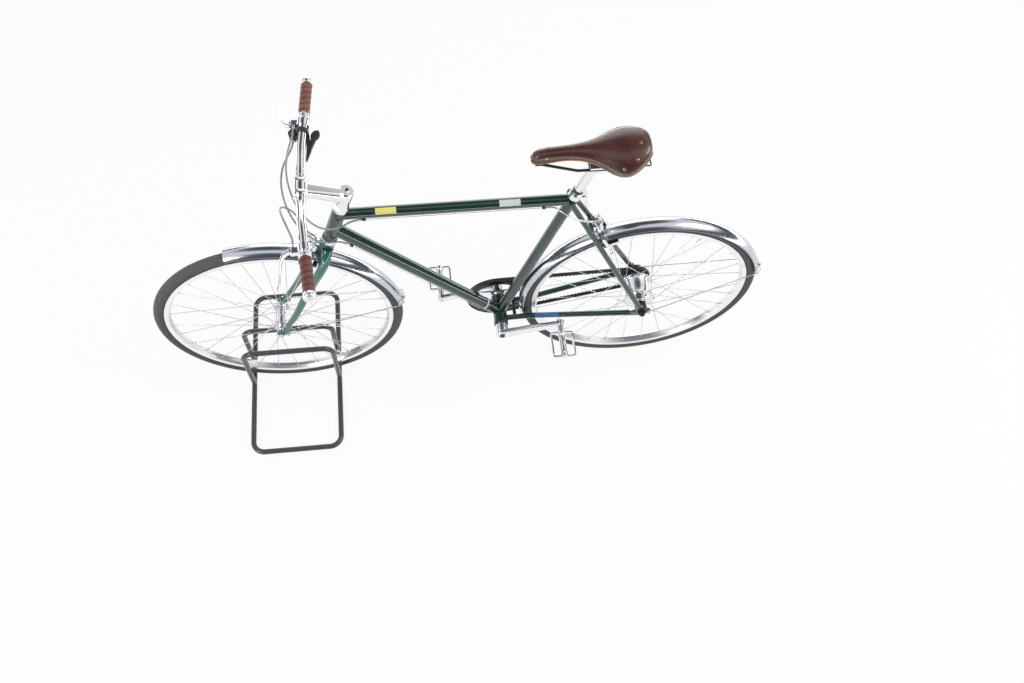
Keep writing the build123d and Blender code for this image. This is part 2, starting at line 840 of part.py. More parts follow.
# Steering
def fork_blade(side):
    inner = front_dropout_spacing / 2
    stations = [
        (crown_low + 14, 0, 16, 13.5), (crown_low - 22, 0, tyre_width / 2 + 20.5, 12.5),
        (crown_low * 0.65, 0, inner - 9, 11.5), (crown_low * 0.38, fork_rake * 0.04, inner - 4, 9.8),
        (crown_low * 0.19, fork_rake * 0.28, inner, 8), (16, fork_rake * 0.81, inner + 2.5, 6.5),
    ]
    spots = [on_steerer(height, ahead, side * out) for height, ahead, out, size in stations]
    sections = []
    for number, station in enumerate(stations):
        before = spots[max(number - 1, 0)]
        after = spots[min(number + 1, len(spots) - 1)]
        sections.append(Plane(origin=spots[number], z_dir=after - before) * Circle(station[3]))
    return loft(sections)


def fork_dropout(side):
    hub = side_view(front_axle)
    eyelet = side_view(round_axle(front_axle, front_stay_turn, eyelet_reach))
    inner = front_dropout_spacing / 2
    low = min(side * inner, side * (inner + dropout_thickness))
    outline = strap(hub, 12, side_view(on_steerer(20, fork_rake - 12)), 8) + strap(hub, 11, eyelet, 6)
    plate = slab(outline, low, low + dropout_thickness) - eyelet_hole(front_axle, front_stay_turn)
    return plate - rod(front_axle - left * 90, front_axle + left * 90, front_axle_radius + 0.1)


def fork():
    crown_top = crown_low + crown_height
    body = rod(on_steerer(crown_low), on_steerer(crown_top), 19)
    body += rod(on_steerer(crown_top - 5), on_steerer(stem_high() - 4), steerer_radius)
    for side in (1, -1):
        body += fork_blade(side)
        body += fork_dropout(side)
    body += rod(on_steerer(brake_bolt_height), on_steerer(brake_bolt_height, brake_seat), 8.5)
    bolt = rod(on_steerer(brake_bolt_height, -30), on_steerer(brake_bolt_height, 30), brake_bolt_radius + 0.1)
    return body - bolt


def stem_low():
    return head_tube_high + top_cup_height + 0.5


def stem_high():
    return stem_low() + stem_sleeve_height


def bar_centre():
    return on_steerer(head_tube_high + bar_lift, stem_reach)


def stem_sleeve():
    height = stem_sleeve_height
    outline = [
        (0, 0), (stem_sleeve_radius + 1.5, 0), (stem_sleeve_radius + 1.5, 5), (stem_sleeve_radius - 1, 14),
        (stem_sleeve_radius - 1, height - 30), (stem_sleeve_radius, height - 22),
        (stem_sleeve_radius, height),
        (stem_sleeve_radius - 3, height + 5), (0, height + 5),
    ]
    face = Plane.XZ * make_face(Polyline(*outline, close=True))
    return Plane(origin=on_steerer(stem_low()), z_dir=steer_up) * revolve(face, Axis.Z, 360)


def stem():
    root = on_steerer(stem_high() - 17)
    centre = bar_centre()
    way = (centre - root).normalized()
    start = Plane(origin=root, x_dir=left, z_dir=way)
    end = Plane(origin=centre - way * 10, x_dir=left, z_dir=way)
    beam = loft([start * RectangleRounded(29, 32, 10), end * RectangleRounded(32, 26, 8)])
    bolt = rod(on_steerer(stem_high() + 4), on_steerer(stem_high() + 8), 5)
    clamp = rod(centre - left * clamp_width / 2, centre + left * clamp_width / 2, bar_clamp_radius + 5)
    body = stem_sleeve() + beam + bolt + clamp
    rise = way.cross(left) * (bar_clamp_radius + 3)
    for side in (1, -1):
        for lift in (1, -1):
            boss = centre + left * side * (clamp_width / 2 - 8) + rise * lift
            body += rod(boss - way * 9, boss + way * 11, 4.6)
    body -= rod(on_steerer(stem_low() - 1), on_steerer(stem_high() - 3), steerer_radius + 0.1)
    return body - rod(centre - left * clamp_width, centre + left * clamp_width, bar_clamp_radius + 0.1)


def bar_points():
    outer = from_bar(-bar_sweep, bar_half_width, bar_rise)
    shoulder = from_bar(-bar_sweep * 0.15, bar_shoulder, bar_rise * 0.7)
    return [
        Vector(outer.X, -outer.Y, outer.Z), Vector(shoulder.X, -shoulder.Y, shoulder.Z),
        from_bar(0, -42, 0), from_bar(0, 42, 0), shoulder, outer,
    ]


def handlebar():
    bar = bent_rod(bar_points(), 180, bar_radius)
    centre = bar_centre()
    bulge = rod(centre - left * 34, centre + left * 34, bar_clamp_radius)
    for side in (1, -1):
        bulge += rod(centre + left * side * 34, centre + left * side * 46, bar_clamp_radius, bar_radius)
    return bar + bulge


# A point on the straight end of the bar, so far in from its end, on one side.
def on_bar(side, inboard):
    points = bar_points()
    outer = points[-1] if side > 0 else points[0]
    shoulder = points[-2] if side > 0 else points[1]
    way = (shoulder - outer).normalized()
    return outer + way * inboard


def grip(side):
    outer = on_bar(side, grip_start())
    inner = on_bar(side, grip_start() + grip_length)
    shape = rod(outer, inner, grip_radius)
    return shape - rod(on_bar(side, -5), on_bar(side, grip_length + 40), bar_radius + 0.15)


def grip_start():
    return collar_width + 2 * seat_gap


# The clamp ring at one end of a grip; the outer one has a cap over the bar's end.
def grip_collar(side, inboard):
    ring = rod(on_bar(side, inboard), on_bar(side, inboard + collar_width), grip_radius + 1.2)
    return ring - rod(on_bar(side, -10), on_bar(side, inboard + 30), bar_radius + 0.15)


def end_collar(side):
    ring = grip_collar(side, 0)
    ring += rod(on_bar(side, 0.1), on_bar(side, -1), grip_radius + 1.2)
    ring += rod(on_bar(side, -seat_gap), on_bar(side, -5), grip_radius + 1.2, grip_radius - 2)
    return ring - rod(on_bar(side, -seat_gap), on_bar(side, 5), bar_radius + 0.15)


# A flat blade that follows a curve; each size gives the section's height and thickness.
def blade(points, sizes):
    path = Spline(*points)
    sections = []
    for number, (height, thickness) in enumerate(sizes):
        share = number / (len(sizes) - 1)
        place = Plane(origin=path @ share, x_dir=(0, 0, 1), z_dir=path % share)
        sections.append(place * RectangleRounded(height, thickness, thickness * 0.45))
    return loft(sections)


def brake_lever(side):
    seat = on_bar(side, lever_inboard)
    band = rod(on_bar(side, lever_inboard - 6), on_bar(side, lever_inboard + 12), bar_radius + 4)
    pivot = seat + Vector(lever_length, 0, -6)
    perch = Box(lever_length + 4, lever_width, 14)
    perch = fillet(perch.edges().filter_by(Axis.Y), 5)
    band += Pos(*((seat + pivot) / 2)) * perch
    band += rod(pivot - Vector(2, 0, 9), pivot + Vector(-2, 0, 9), 5)
    band -= rod(on_bar(side, 0), on_bar(side, lever_inboard + 60), bar_radius + 0.15)
    curve = [(-5, 0, 0), (13, 3, -1), (21, 15, -2), (25, 34, -7), (28, 58, -18), (36, 80, -32)]
    points = [pivot + Vector(x, side * y, z) for x, y, z in curve]
    return band + blade(points, [(11, 8), (13, 8), (12, 6), (11, 5), (10, 4.5), (9, 5)])


# A thumb shifter: a round pod ahead of the bar, and a pointed arm with a paddle behind it.
def gear_shifter():
    seat = on_bar(-1, shifter_inboard)
    body = rod(seat, on_bar(-1, shifter_inboard + 9), bar_radius + 4)
    pod = seat + Vector(22, 3, -12)
    body += rod(pod - Vector(0, 0, 10), pod + Vector(0, 0, 9), 12.5)
    body += rod(pod + Vector(0, 0, 8), pod + Vector(0, 0, 12), 10, 8)
    body += rod(pod + left * 8, seat + Vector(22, shifter_boss, -12), 4)
    body += Pos(*(seat + Vector(8, 4.5, -6))) * Box(18, 8, 12)
    root = seat + Vector(-10, 4.5, -17)
    body += rod(root - Vector(0, 0, 3), root + Vector(0, 0, 9), 4.5)
    arm = strap((0, 0), 4.5, (-3, 44), 5.5) + strap((-3, 44), 5.5, (3, 74), 1.6)
    arm += strap((-3, 44), 4.5, (-13, 14), 6)
    arm += Pos(-18, 0) * Rot(0, 0, -25) * Ellipse(10, 15)
    blade_place = Plane(origin=root - Vector(0, 0, 3))
    body += blade_place * extrude(arm, 6.5)
    return body - rod(on_bar(-1, 100), on_bar(-1, shifter_inboard + 40), bar_radius + 0.15)


# Fenders
# A fender follows the tyre between two turns, counted up from ahead of the axle.
def fender(axle, start, end):
    half = fender_width / 2
    low = fender_radius - fender_drop
    inner_top = fender_radius - fender_wall
    inner_low = low - fender_wall
    with BuildSketch(Plane.XY) as section:
        with BuildLine():
            ThreePointArc((low, -half), (fender_radius, 0), (low, half))
            Line((low, half), (inner_low, half - 0.3))
            ThreePointArc((inner_low, half - 0.3), (inner_top, 0), (inner_low, 0.3 - half))
            Line((inner_low, 0.3 - half), (low, -half))
        make_face()
    arc = revolve(section.sketch, Axis.Y, end - start)
    return Pos(*axle) * Rot(0, -end, 0) * arc


# One wire from both dropouts over the fender's crown, with its eyes, screws and centre nut.
def fender_stays(axle, turn, dropout_spacing):
    face = dropout_spacing / 2 + dropout_thickness
    eye = face + 0.1 + eye_thickness / 2
    crown = fender_radius + fender_wire + seat_gap
    edge = fender_width / 2 + fender_wire + 0.6
    points = [
        round_axle(axle, turn, eyelet_reach, eye), round_axle(axle, turn, crown, edge),
        round_axle(axle, turn, crown, -edge), round_axle(axle, turn, eyelet_reach, -eye),
    ]
    wire = bent_rod(points, 9, fender_wire)
    wire += rod(round_axle(axle, turn, crown - 0.5), round_axle(axle, turn, crown + 5), 4.5)
    for side in (1, -1):
        spot = round_axle(axle, turn, eyelet_reach)
        inside, outside = [spot + left * side * (face + out) for out in (0.1, eye_thickness)]
        wire += rod(inside, outside + left * side * 0.1, 5.5)
        wire += rod(spot + left * side * (face - dropout_thickness), inside + left * side * 0.9, screw_radius)
        wire += rod(outside, outside + left * side * 3, 4)
    return [wire]


# A side-pull brake: x away from the frame, y across, z up, from its centre bolt.
def caliper_arms(reach):
    foot = -reach - 10
    outline = [
        (-42, foot), (-42, -24), (-22, 7), (22, 7), (42, -24), (42, foot),
        (30, foot), (30, -27), (15, -9), (-15, -9), (-30, -27), (-30, foot),
    ]
    face = make_face(Polyline(*outline, close=True))
    face = fillet(face.vertices(), 5)
    return Pos(caliper_front - caliper_thickness, 0, 0) * extrude(Plane.YZ * face, caliper_thickness)


def brake_pad(side, reach):
    start = rim_width / 2 + pad_gap
    block = Pos(caliper_middle, side * (start + pad_thickness / 2), -reach)
    pad = block * Box(pad_length, pad_thickness, pad_height)
    pad = fillet(pad.edges().filter_by(Axis.Y), 3)
    bolt_start = Vector(caliper_middle, side * (start + pad_thickness - 1), -reach)
    return pad + rod(bolt_start, Vector(caliper_middle, side * 47, -reach), 3)


# How far below its bolt a brake's pads meet the rim of the wheel round the axle.
def brake_reach(place, axle):
    track = rim_inner_radius() + rim_wall + rim_lip_height / 2
    way = place.z_dir
    start = place.origin + place.x_dir * caliper_middle - axle
    rise = start.dot(way)
    return rise - (track ** 2 - start.length ** 2 + rise ** 2) ** 0.5


def caliper(reach, cable_side):
    body = caliper_arms(reach)
    body += rod(Vector(0, 0, 0), Vector(caliper_front + 4, 0, 0), 8.5)
    body += rod(Vector(-15, 0, 0), Vector(1, 0, 0), brake_bolt_radius)
    pivot = Vector(caliper_front - caliper_thickness - 3, -24 * cable_side, -5)
    body += rod(pivot, pivot + Vector(caliper_thickness + 5, 0, 0), 6.5)
    lug = Pos(caliper_middle, barrel_side * cable_side, 3) * Box(caliper_thickness - 1, 12, 16)
    body += lug
    barrel_foot = Vector(caliper_middle, barrel_side * cable_side, 4)
    body += rod(barrel_foot, Vector(caliper_middle, barrel_side * cable_side, barrel_top), 3)
    for side in (1, -1):
        body += brake_pad(side, reach)
    return body


def front_brake_place():
    origin = on_steerer(brake_bolt_height, brake_seat + seat_gap)
    return Plane(origin=origin, x_dir=steer_forward, z_dir=steer_up)


def front_brake():
    place = front_brake_place()
    return place * caliper(brake_reach(place, front_axle), 1)


def rear_brake_place():
    top, foot = seat_stay_line(1)
    spot = top + (foot - top) * brake_share
    down = Vector(foot.X - top.X, 0, foot.Z - top.Z).normalized()
    away = Vector(down.Z, 0, -down.X)
    origin = Vector(spot.X, 0, spot.Z) + away * (brake_bridge_radius + seat_gap)
    return Plane(origin=origin, x_dir=away, z_dir=-down)


def rear_brake():
    place = rear_brake_place()
    return place * caliper(brake_reach(place, rear_axle), -1)


# Cables
def housing(points, radii):
    path = FilletPolyline(*points, radius=radii)
    section = Plane(origin=path @ 0, z_dir=path % 0) * Circle(housing_radius)
    return sweep(section, path=path)


def cable_bends(points):
    radii = []
    for before, here, after in zip(points, points[1:], points[2:]):
        turn = radians((here - before).get_angle(after - here))
        shorter = min((here - before).length, (after - here).length)
        radii.append(0.45 * shorter / tan(turn / 2))
    return radii


def cable(points):
    return housing(points, cable_bends(points))


# Where a housing starts, beside a brake lever's perch and beside the shifter's boss.
def lever_side(side):
    return on_bar(side, lever_inboard).Y - side * (lever_width / 2 + cable_gap)


def shifter_side():
    return on_bar(-1, shifter_inboard).Y + shifter_boss + cable_gap


def front_brake_cable():
    place = front_brake_place()
    top = barrel_top + seat_gap
    return cable([
        from_bar(16, lever_side(1), 16), from_bar(16, lever_side(1) - 23, 16),
        from_bar(27, 122, 23), from_bar(39, 90, 23),
        from_bar(47, 58, 10), from_bar(42, 32, -20), from_bar(27, 20, -57), from_bar(17, 17, -95),
        from_bar(13, 19, -133), within(place, caliper_middle, barrel_side, top + 30),
        within(place, caliper_middle, barrel_side, top),
    ])


def brake_cable_crossing():
    end = top_cable(top_front_stop() + stop_length + seat_gap)
    return cable([
        from_bar(13, lever_side(-1), 19.6), from_bar(13, lever_side(-1) + 25, 19.6),
        from_bar(20, -120, 23), from_bar(29, -88, 16), from_bar(35, -54, -4), from_bar(31, -22, -35),
        from_bar(16, 6, -71),
        from_bar(-9, 28, -101), from_bar(-42, 36, -120), from_bar(-79, 28, -124), end + Vector(24, 0, 0), end,
    ])


def shift_cable_crossing():
    end = down_cable(down_front_stop() + stop_length + seat_gap)
    return cable([
        from_bar(16, shifter_side(), 5), from_bar(16, shifter_side() + 17, 5),
        from_bar(27, -104, 1), from_bar(45, -76, -13),
        from_bar(53, -40, -41), from_bar(45, -4, -77), from_bar(25, 24, -115), from_bar(-3, 36, -151),
        from_bar(-35, 32, -183), end + down_way() * 26, end,
    ])


def rear_brake_cable():
    stop = top_rear_stop()
    low = top_cable(stop - 14)
    inner = rod(low, top_cable(top_front_stop() + stop_length), wire_radius)
    place = rear_brake_place()
    top = barrel_top + seat_gap
    outer = cable([
        top_cable(stop - seat_gap), top_cable(stop - 22), top_cable(stop - 50) + Vector(0, 22, -4),
        top_cable(stop - 78) + Vector(0, 30, -20), within(place, caliper_middle, -barrel_side - 12, top + 44),
        within(place, caliper_middle, -barrel_side, top + 26),
        within(place, caliper_middle, -barrel_side, top),
    ])
    return [inner, outer - rod(low + Vector(-20, 0, 0), top_cable(stop), wire_radius + 0.3)]


def shift_cable():
    start = down_cable(down_front_stop() + stop_length)
    return [rod(start, down_cable(down_stop_rear - 4), wire_radius)]


# Wheel stand: a closed floor frame and two hoops that hold the tyre between them.
def stand():
    z = stand_tube_radius
    back = stand_back
    middle = Vector(back + stand_depth / 2, 0, z)
    loop = Pos(*middle) * RectangleRounded(stand_depth, stand_width, stand_corner)
    start = Vector(back, 0, z)
    body = sweep(Plane(origin=start, z_dir=(0, 1, 0)) * Circle(stand_tube_radius), path=loop.wire())
    for side in (1, -1):
        y = side * hoop_gap / 2
        points = [
            Vector(back, y, z), Vector(back, y, hoop_height - z),
            Vector(back + stand_depth, y, hoop_height - z), Vector(back + stand_depth, y, z),
        ]
        body += bent_rod(points, hoop_corner, stand_tube_radius)
    return body


save("front_tyre", tyre(front_axle))
save("rear_tyre", tyre(rear_axle))
save("front_rim", rim(front_axle))
save("rear_rim", rim(rear_axle))
save("front_spokes", *spokes(front_axle, front_flange_radius, front_flange_offset, 67.5))
save("rear_spokes", *spokes(rear_axle, rear_flange_radius, rear_flange_offset, 45))
save("front_hub", front_hub())
save("rear_hub", rear_hub())
save("rear_hub_cap", rear_hub_cap())
save("rear_cog", rear_cog())
save("front_axle", front_axle_set())
save("rear_axle", rear_axle_set())
save("belt_ring", belt_ring())
save("drive_belt", belt())
save("crank_right", right_crank())
save("crank_left", left_crank())
save("pedal_axles", pedal_axle(1), pedal_axle(-1))
save("pedal_left", pedal(1))
save("pedal_right", pedal(-1))
save("head_tube", head_tube())
save("top_tube", top_tube())
save("down_tube", down_tube())
save("seat_tube", seat_tube())
save("bottom_bracket_shell", bracket_shell())
save("chain_stays", chain_stays())
save("seat_stays", seat_stays())
save("headset_cups", *headset())
save("seat_post", seat_post())
save("seat_clamp", seat_clamp())
save("saddle_leather", saddle_leather())
save("saddle_frame", saddle_frame())
save("fork", fork())
save("stem", stem())
save("handlebar", handlebar())
save("grip_left", grip(1))
save("grip_right", grip(-1))
inner_collar = grip_start() + grip_length + seat_gap
inner_collars = [grip_collar(side, inner_collar) for side in (1, -1)]
save("grip_collars", *inner_collars, end_collar(1), end_collar(-1))
save("brake_lever_left", brake_lever(1))
save("brake_lever_right", brake_lever(-1))
save("gear_shifter", gear_shifter())
save("front_fender", fender(front_axle, 75, 172))
save("rear_fender", fender(rear_axle, -10, 167))
save("front_fender_stays", *fender_stays(front_axle, front_stay_turn, front_dropout_spacing))
save("rear_fender_stays", *fender_stays(rear_axle, rear_stay_turn, rear_dropout_spacing))
save("front_brake", front_brake())
save("wheel_stand", stand())
save("rear_brake", rear_brake())
save("front_brake_cable", front_brake_cable())
save("brake_cable_crossing", brake_cable_crossing())
save("shift_cable_crossing", shift_cable_crossing())
save("rear_brake_cable", *rear_brake_cable())
save("shift_cable", *shift_cable())
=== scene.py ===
# City bicycle in a wheel stand: finishes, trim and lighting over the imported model.
import bpy
import bmesh
import json
from math import atan2, cos, pi, radians, sin
from mathutils import Matrix, Vector
from mathutils.bvhtree import BVHTree
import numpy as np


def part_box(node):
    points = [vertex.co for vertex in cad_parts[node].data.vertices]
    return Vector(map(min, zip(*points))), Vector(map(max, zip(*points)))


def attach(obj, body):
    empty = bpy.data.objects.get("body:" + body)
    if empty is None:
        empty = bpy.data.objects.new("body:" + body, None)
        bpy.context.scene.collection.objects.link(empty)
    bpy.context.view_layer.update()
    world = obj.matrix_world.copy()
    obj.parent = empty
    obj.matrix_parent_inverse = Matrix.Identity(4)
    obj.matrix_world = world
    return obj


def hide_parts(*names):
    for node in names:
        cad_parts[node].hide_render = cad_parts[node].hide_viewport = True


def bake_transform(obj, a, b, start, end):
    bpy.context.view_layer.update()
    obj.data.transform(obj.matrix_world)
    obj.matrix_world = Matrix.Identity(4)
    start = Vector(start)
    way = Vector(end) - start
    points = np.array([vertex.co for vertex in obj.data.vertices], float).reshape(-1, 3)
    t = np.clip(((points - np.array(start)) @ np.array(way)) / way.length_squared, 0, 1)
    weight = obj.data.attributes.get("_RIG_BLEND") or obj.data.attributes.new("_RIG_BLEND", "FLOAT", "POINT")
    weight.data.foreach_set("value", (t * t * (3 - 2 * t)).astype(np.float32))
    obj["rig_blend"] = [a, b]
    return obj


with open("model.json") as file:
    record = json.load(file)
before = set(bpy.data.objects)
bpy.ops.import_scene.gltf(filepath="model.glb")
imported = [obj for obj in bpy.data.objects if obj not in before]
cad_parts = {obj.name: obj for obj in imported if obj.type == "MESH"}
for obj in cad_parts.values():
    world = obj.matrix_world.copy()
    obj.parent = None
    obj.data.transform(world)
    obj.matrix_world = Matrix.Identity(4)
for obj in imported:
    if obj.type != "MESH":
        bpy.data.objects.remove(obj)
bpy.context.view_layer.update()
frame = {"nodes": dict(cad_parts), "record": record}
bodies = frame["record"]["behaviour"]["bodies"]
bodyOf = {node: body for body, nodes in bodies.items() for node in nodes}
print("frame loaded:", len(bodyOf), "nodes")


# Shader writing: a Link is a socket that takes part in sums, a Finish is a material being written.
class Link:
    def __init__(self, finish, socket):
        self.finish = finish
        self.socket = socket

    def maths(self, operation, *values):
        return self.finish.node("ShaderNodeMath", {"operation": operation}, dict(enumerate(values)))

    def __add__(self, other):
        return self.maths("ADD", self, other)

    def __radd__(self, other):
        return self.maths("ADD", other, self)

    def __sub__(self, other):
        return self.maths("SUBTRACT", self, other)

    def __rsub__(self, other):
        return self.maths("SUBTRACT", other, self)

    def __mul__(self, other):
        return self.maths("MULTIPLY", self, other)

    def __rmul__(self, other):
        return self.maths("MULTIPLY", other, self)


class Finish:
    def __init__(self, name, target=None):
        self.material = target or bpy.data.materials.new(name)
        self.material.use_nodes = True
        self.nodes = self.material.node_tree.nodes
        self.links = self.material.node_tree.links
        self.nodes.clear()

    def node(self, kind, settings=None, sockets=None, output=0):
        made = self.nodes.new(kind)
        for name, value in (settings or {}).items():
            if name == "stops":
                self.setStops(made.color_ramp, value)
            else:
                setattr(made, name, value)
        for name, value in (sockets or {}).items():
            if isinstance(value, Link):
                self.links.new(value.socket, made.inputs[name])
            else:
                made.inputs[name].default_value = value
        return Link(self, made.outputs[output]) if len(made.outputs) else None

    def setStops(self, ramp, stops):
        while len(ramp.elements) < len(stops):
            ramp.elements.new(0.5)
        for element, (place, colour) in zip(ramp.elements, stops):
            element.position = place
            element.color = (*colour, 1) if len(colour) == 3 else colour

    def spot(self, centre=(0, 0, 0), scale=(1, 1, 1)):
        place = self.node("ShaderNodeTexCoord", output="Object")
        move = tuple(-value for value in centre)
        moved = self.node("ShaderNodeVectorMath", {"operation": "ADD"}, {0: place, 1: move})
        return self.node("ShaderNodeVectorMath", {"operation": "MULTIPLY"}, {0: moved, 1: scale})

    def part(self, vector, axis):
        return self.node("ShaderNodeSeparateXYZ", sockets={"Vector": vector}, output=axis)

    def noise(self, vector, scale, detail=3, rough=0.5):
        sockets = {"Vector": vector, "Scale": scale, "Detail": detail, "Roughness": rough}
        return self.node("ShaderNodeTexNoise", sockets=sockets, output="Fac")

    def cells(self, vector, scale):
        sockets = {"Vector": vector, "Scale": scale}
        return self.node("ShaderNodeTexVoronoi", sockets=sockets, output="Distance")

    def between(self, value, low, high):
        settings = {"interpolation_type": "SMOOTHSTEP"}
        sockets = {"Value": value, "From Min": low, "From Max": high}
        return self.node("ShaderNodeMapRange", settings, sockets)

    def length(self, vector):
        return self.node("ShaderNodeVectorMath", {"operation": "LENGTH"}, {0: vector}, output="Value")

    def facing(self, vector, way):
        settings = {"operation": "DOT_PRODUCT"}
        sockets = {0: vector, 1: tuple(Vector(way).normalized())}
        return self.node("ShaderNodeVectorMath", settings, sockets, output="Value")

    def ramp(self, factor, stops):
        return self.node("ShaderNodeValToRGB", {"stops": stops}, {"Fac": factor})

    def blendColour(self, factor, first, second):
        settings = {"data_type": "RGBA"}
        return self.node("ShaderNodeMix", settings, {0: factor, 6: first, 7: second}, output=2)

    def bump(self, height, strength, distance):
        sockets = {"Height": height, "Strength": strength, "Distance": distance}
        return self.node("ShaderNodeBump", sockets=sockets)

    def close(self, surface):
        self.node("ShaderNodeOutputMaterial", sockets={"Surface": surface})
        return self.material

    def coat(self, sockets):
        return self.close(self.node("ShaderNodeBsdfPrincipled", sockets=sockets, output="BSDF"))


def grey(level):
    return (level, level, level, 1)


def shade(colour, share):
    return tuple(min(1, value * share) for value in colour[:3]) + (1,)


# Layout, read from the frame
def middle(node):
    low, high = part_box(node)
    return (low + high) / 2


left = Vector((0, 1, 0))
layout = {
    "frontAxle": middle("front_tyre"), "rearAxle": middle("rear_tyre"),
    "bracket": middle("bottom_bracket_shell"), "bar": Vector((0.38106, 0, 0.92495)),
    "rails": Vector((-0.31163, 0, 0.95804)), "headAngle": radians(71.5), "rake": 0.053,
    "seatAngle": radians(72.7), "topTubeRadius": 0.0143, "downTubeWay": Vector((0.66784, 0, 0.74431)),
}
steerUp = Vector((-cos(layout["headAngle"]), 0, sin(layout["headAngle"])))
steerForward = Vector((sin(layout["headAngle"]), 0, cos(layout["headAngle"])))
steerFoot = layout["frontAxle"] - steerForward * layout["rake"]
seatUp = Vector((-cos(layout["seatAngle"]), 0, sin(layout["seatAngle"])))

# The bar's straight ends and the wrapping on them
grip = {
    "outer": 0.0126, "length": 0.092, "radius": 0.0140, "pitch": 0.0165, "step": 0.0016, "turns": 8,
    "stepsPerTurn": 36, "barEnd": (0.36006, 0.309, 0.94695), "barShoulder": (0.37791, 0.105, 0.94035),
}


def onBar(side, inboard):
    end, shoulder = [Vector((x, side * y, z)) for x, y, z in (grip["barEnd"], grip["barShoulder"])]
    return end + (shoulder - end).normalized() * inboard


# Finishes
def makeFramePaint(name, colour, metal):
    finish = Finish(name)
    spot = finish.spot()
    flake = finish.cells(spot, 2600)
    cloud = finish.noise(spot, 7, 3)
    wear = finish.between(finish.noise(spot, 60, 5, 0.7), 0.62, 0.78)
    mottled = finish.blendColour(cloud * 0.5 + flake * 0.6, shade(colour, 0.7), shade(colour, 1.35))
    return finish.coat({
        "Base Color": mottled, "Metallic": metal, "Roughness": 0.30 + flake * 0.12 + wear * 0.08,
        "Specular IOR Level": 0.2, "Coat Weight": 1.0, "Coat Roughness": 0.03, "Coat IOR": 1.62,
        "Normal": finish.bump(flake, 0.03, 0.0003),
    })


def makePolishedAlloy(name, tone=(0.83, 0.84, 0.86), rough=0.12, brushed=(1, 1, 1), grime=0.5):
    finish = Finish(name)
    spot = finish.spot(scale=brushed)
    fine = finish.noise(spot, 260, 4)
    haze = finish.noise(finish.spot(), 16, 4, 0.6)
    dull = finish.between(finish.noise(finish.spot(), 48, 5, 0.7), 0.5, 0.8) * grime
    return finish.coat({
        "Base Color": finish.blendColour(haze * 0.5 + dull * 0.5, shade(tone, 1.06), shade(tone, 0.84)),
        "Metallic": 1.0, "Roughness": rough * 0.7 + haze * (rough * 0.6) + dull * 0.08,
        "Normal": finish.bump(fine, 0.06, 0.0004),
    })


# Rubber with a fine tread: slanted sipes on the crown; the lines round the shoulders are in the tyre's shape.
def makeTyreRubber(name, centre):
    finish = Finish(name)
    spot = finish.spot(centre)
    across = finish.part(spot, "Y")
    ahead = finish.part(spot, "X")
    up = finish.part(spot, "Z")
    turn = ahead.maths("ARCTAN2", up, ahead)
    reach = ahead.maths("SQRT", ahead * ahead + up * up)
    slant = ahead.maths("ABSOLUTE", across) * 260
    sipes = finish.between(ahead.maths("SINE", turn * 420 + slant * 2.0), 0.1, 0.7)
    diamonds = finish.between(ahead.maths("SINE", turn * 420 - slant * 2.0), 0.1, 0.7)
    crown = finish.between(reach, 0.3305, 0.3335)
    fine = finish.noise(finish.spot(), 700, 3)
    dust = finish.noise(finish.spot(), 10, 5, 0.6)
    colour = finish.blendColour(dust * 0.6 + crown * 0.4, (0.060, 0.061, 0.064, 1), (0.115, 0.116, 0.120, 1))
    height = (sipes + diamonds) * crown * 0.5 + fine * 0.25
    return finish.coat({
        "Base Color": colour, "Roughness": 0.58 + dust * 0.2, "Normal": finish.bump(height, 0.55, 0.0008),
    })


def makePlain(name, colour, rough, metallic=0.0, grain=300, depth=0.0003, coat=0.0):
    finish = Finish(name)
    spot = finish.spot()
    fine = finish.noise(spot, grain, 3)
    soft = finish.noise(spot, 12, 4, 0.6)
    rub = finish.between(finish.noise(spot, 70, 5, 0.7), 0.55, 0.8)
    return finish.coat({
        "Base Color": finish.blendColour(soft * 0.7 + rub * 0.3, shade(colour, 0.8), shade(colour, 1.3)),
        "Metallic": metallic, "Roughness": rough * 0.85 + fine * (rough * 0.2) + rub * (rough * 0.2),
        "Coat Weight": coat, "Coat Roughness": 0.08, "Normal": finish.bump(fine, 0.2, depth),
    })


def makeSaddleLeather():
    finish = Finish("saddleLeather")
    spot = finish.spot()
    grain = finish.noise(spot, 480, 4)
    pores = finish.cells(spot, 650)
    cloud = finish.noise(spot, 12, 5, 0.62)
    crease = finish.between(finish.noise(spot, 34, 6, 0.7), 0.56, 0.7)
    colour = finish.ramp(cloud, [
        (0.28, (0.026, 0.004, 0.003)), (0.5, (0.050, 0.008, 0.005)), (0.66, (0.088, 0.015, 0.009)),
        (0.8, (0.13, 0.026, 0.015)),
    ])
    worn = finish.blendColour(crease * 0.25, colour, (0.16, 0.050, 0.030, 1))
    relief = grain * 0.5 + pores * 0.35 + crease * 0.2
    return finish.coat({
        "Base Color": worn, "Roughness": 0.34 + cloud * 0.16 + crease * 0.12, "Coat Weight": 0.6,
        "Coat Roughness": 0.16, "Normal": finish.bump(relief, 0.14, 0.0007),
    })
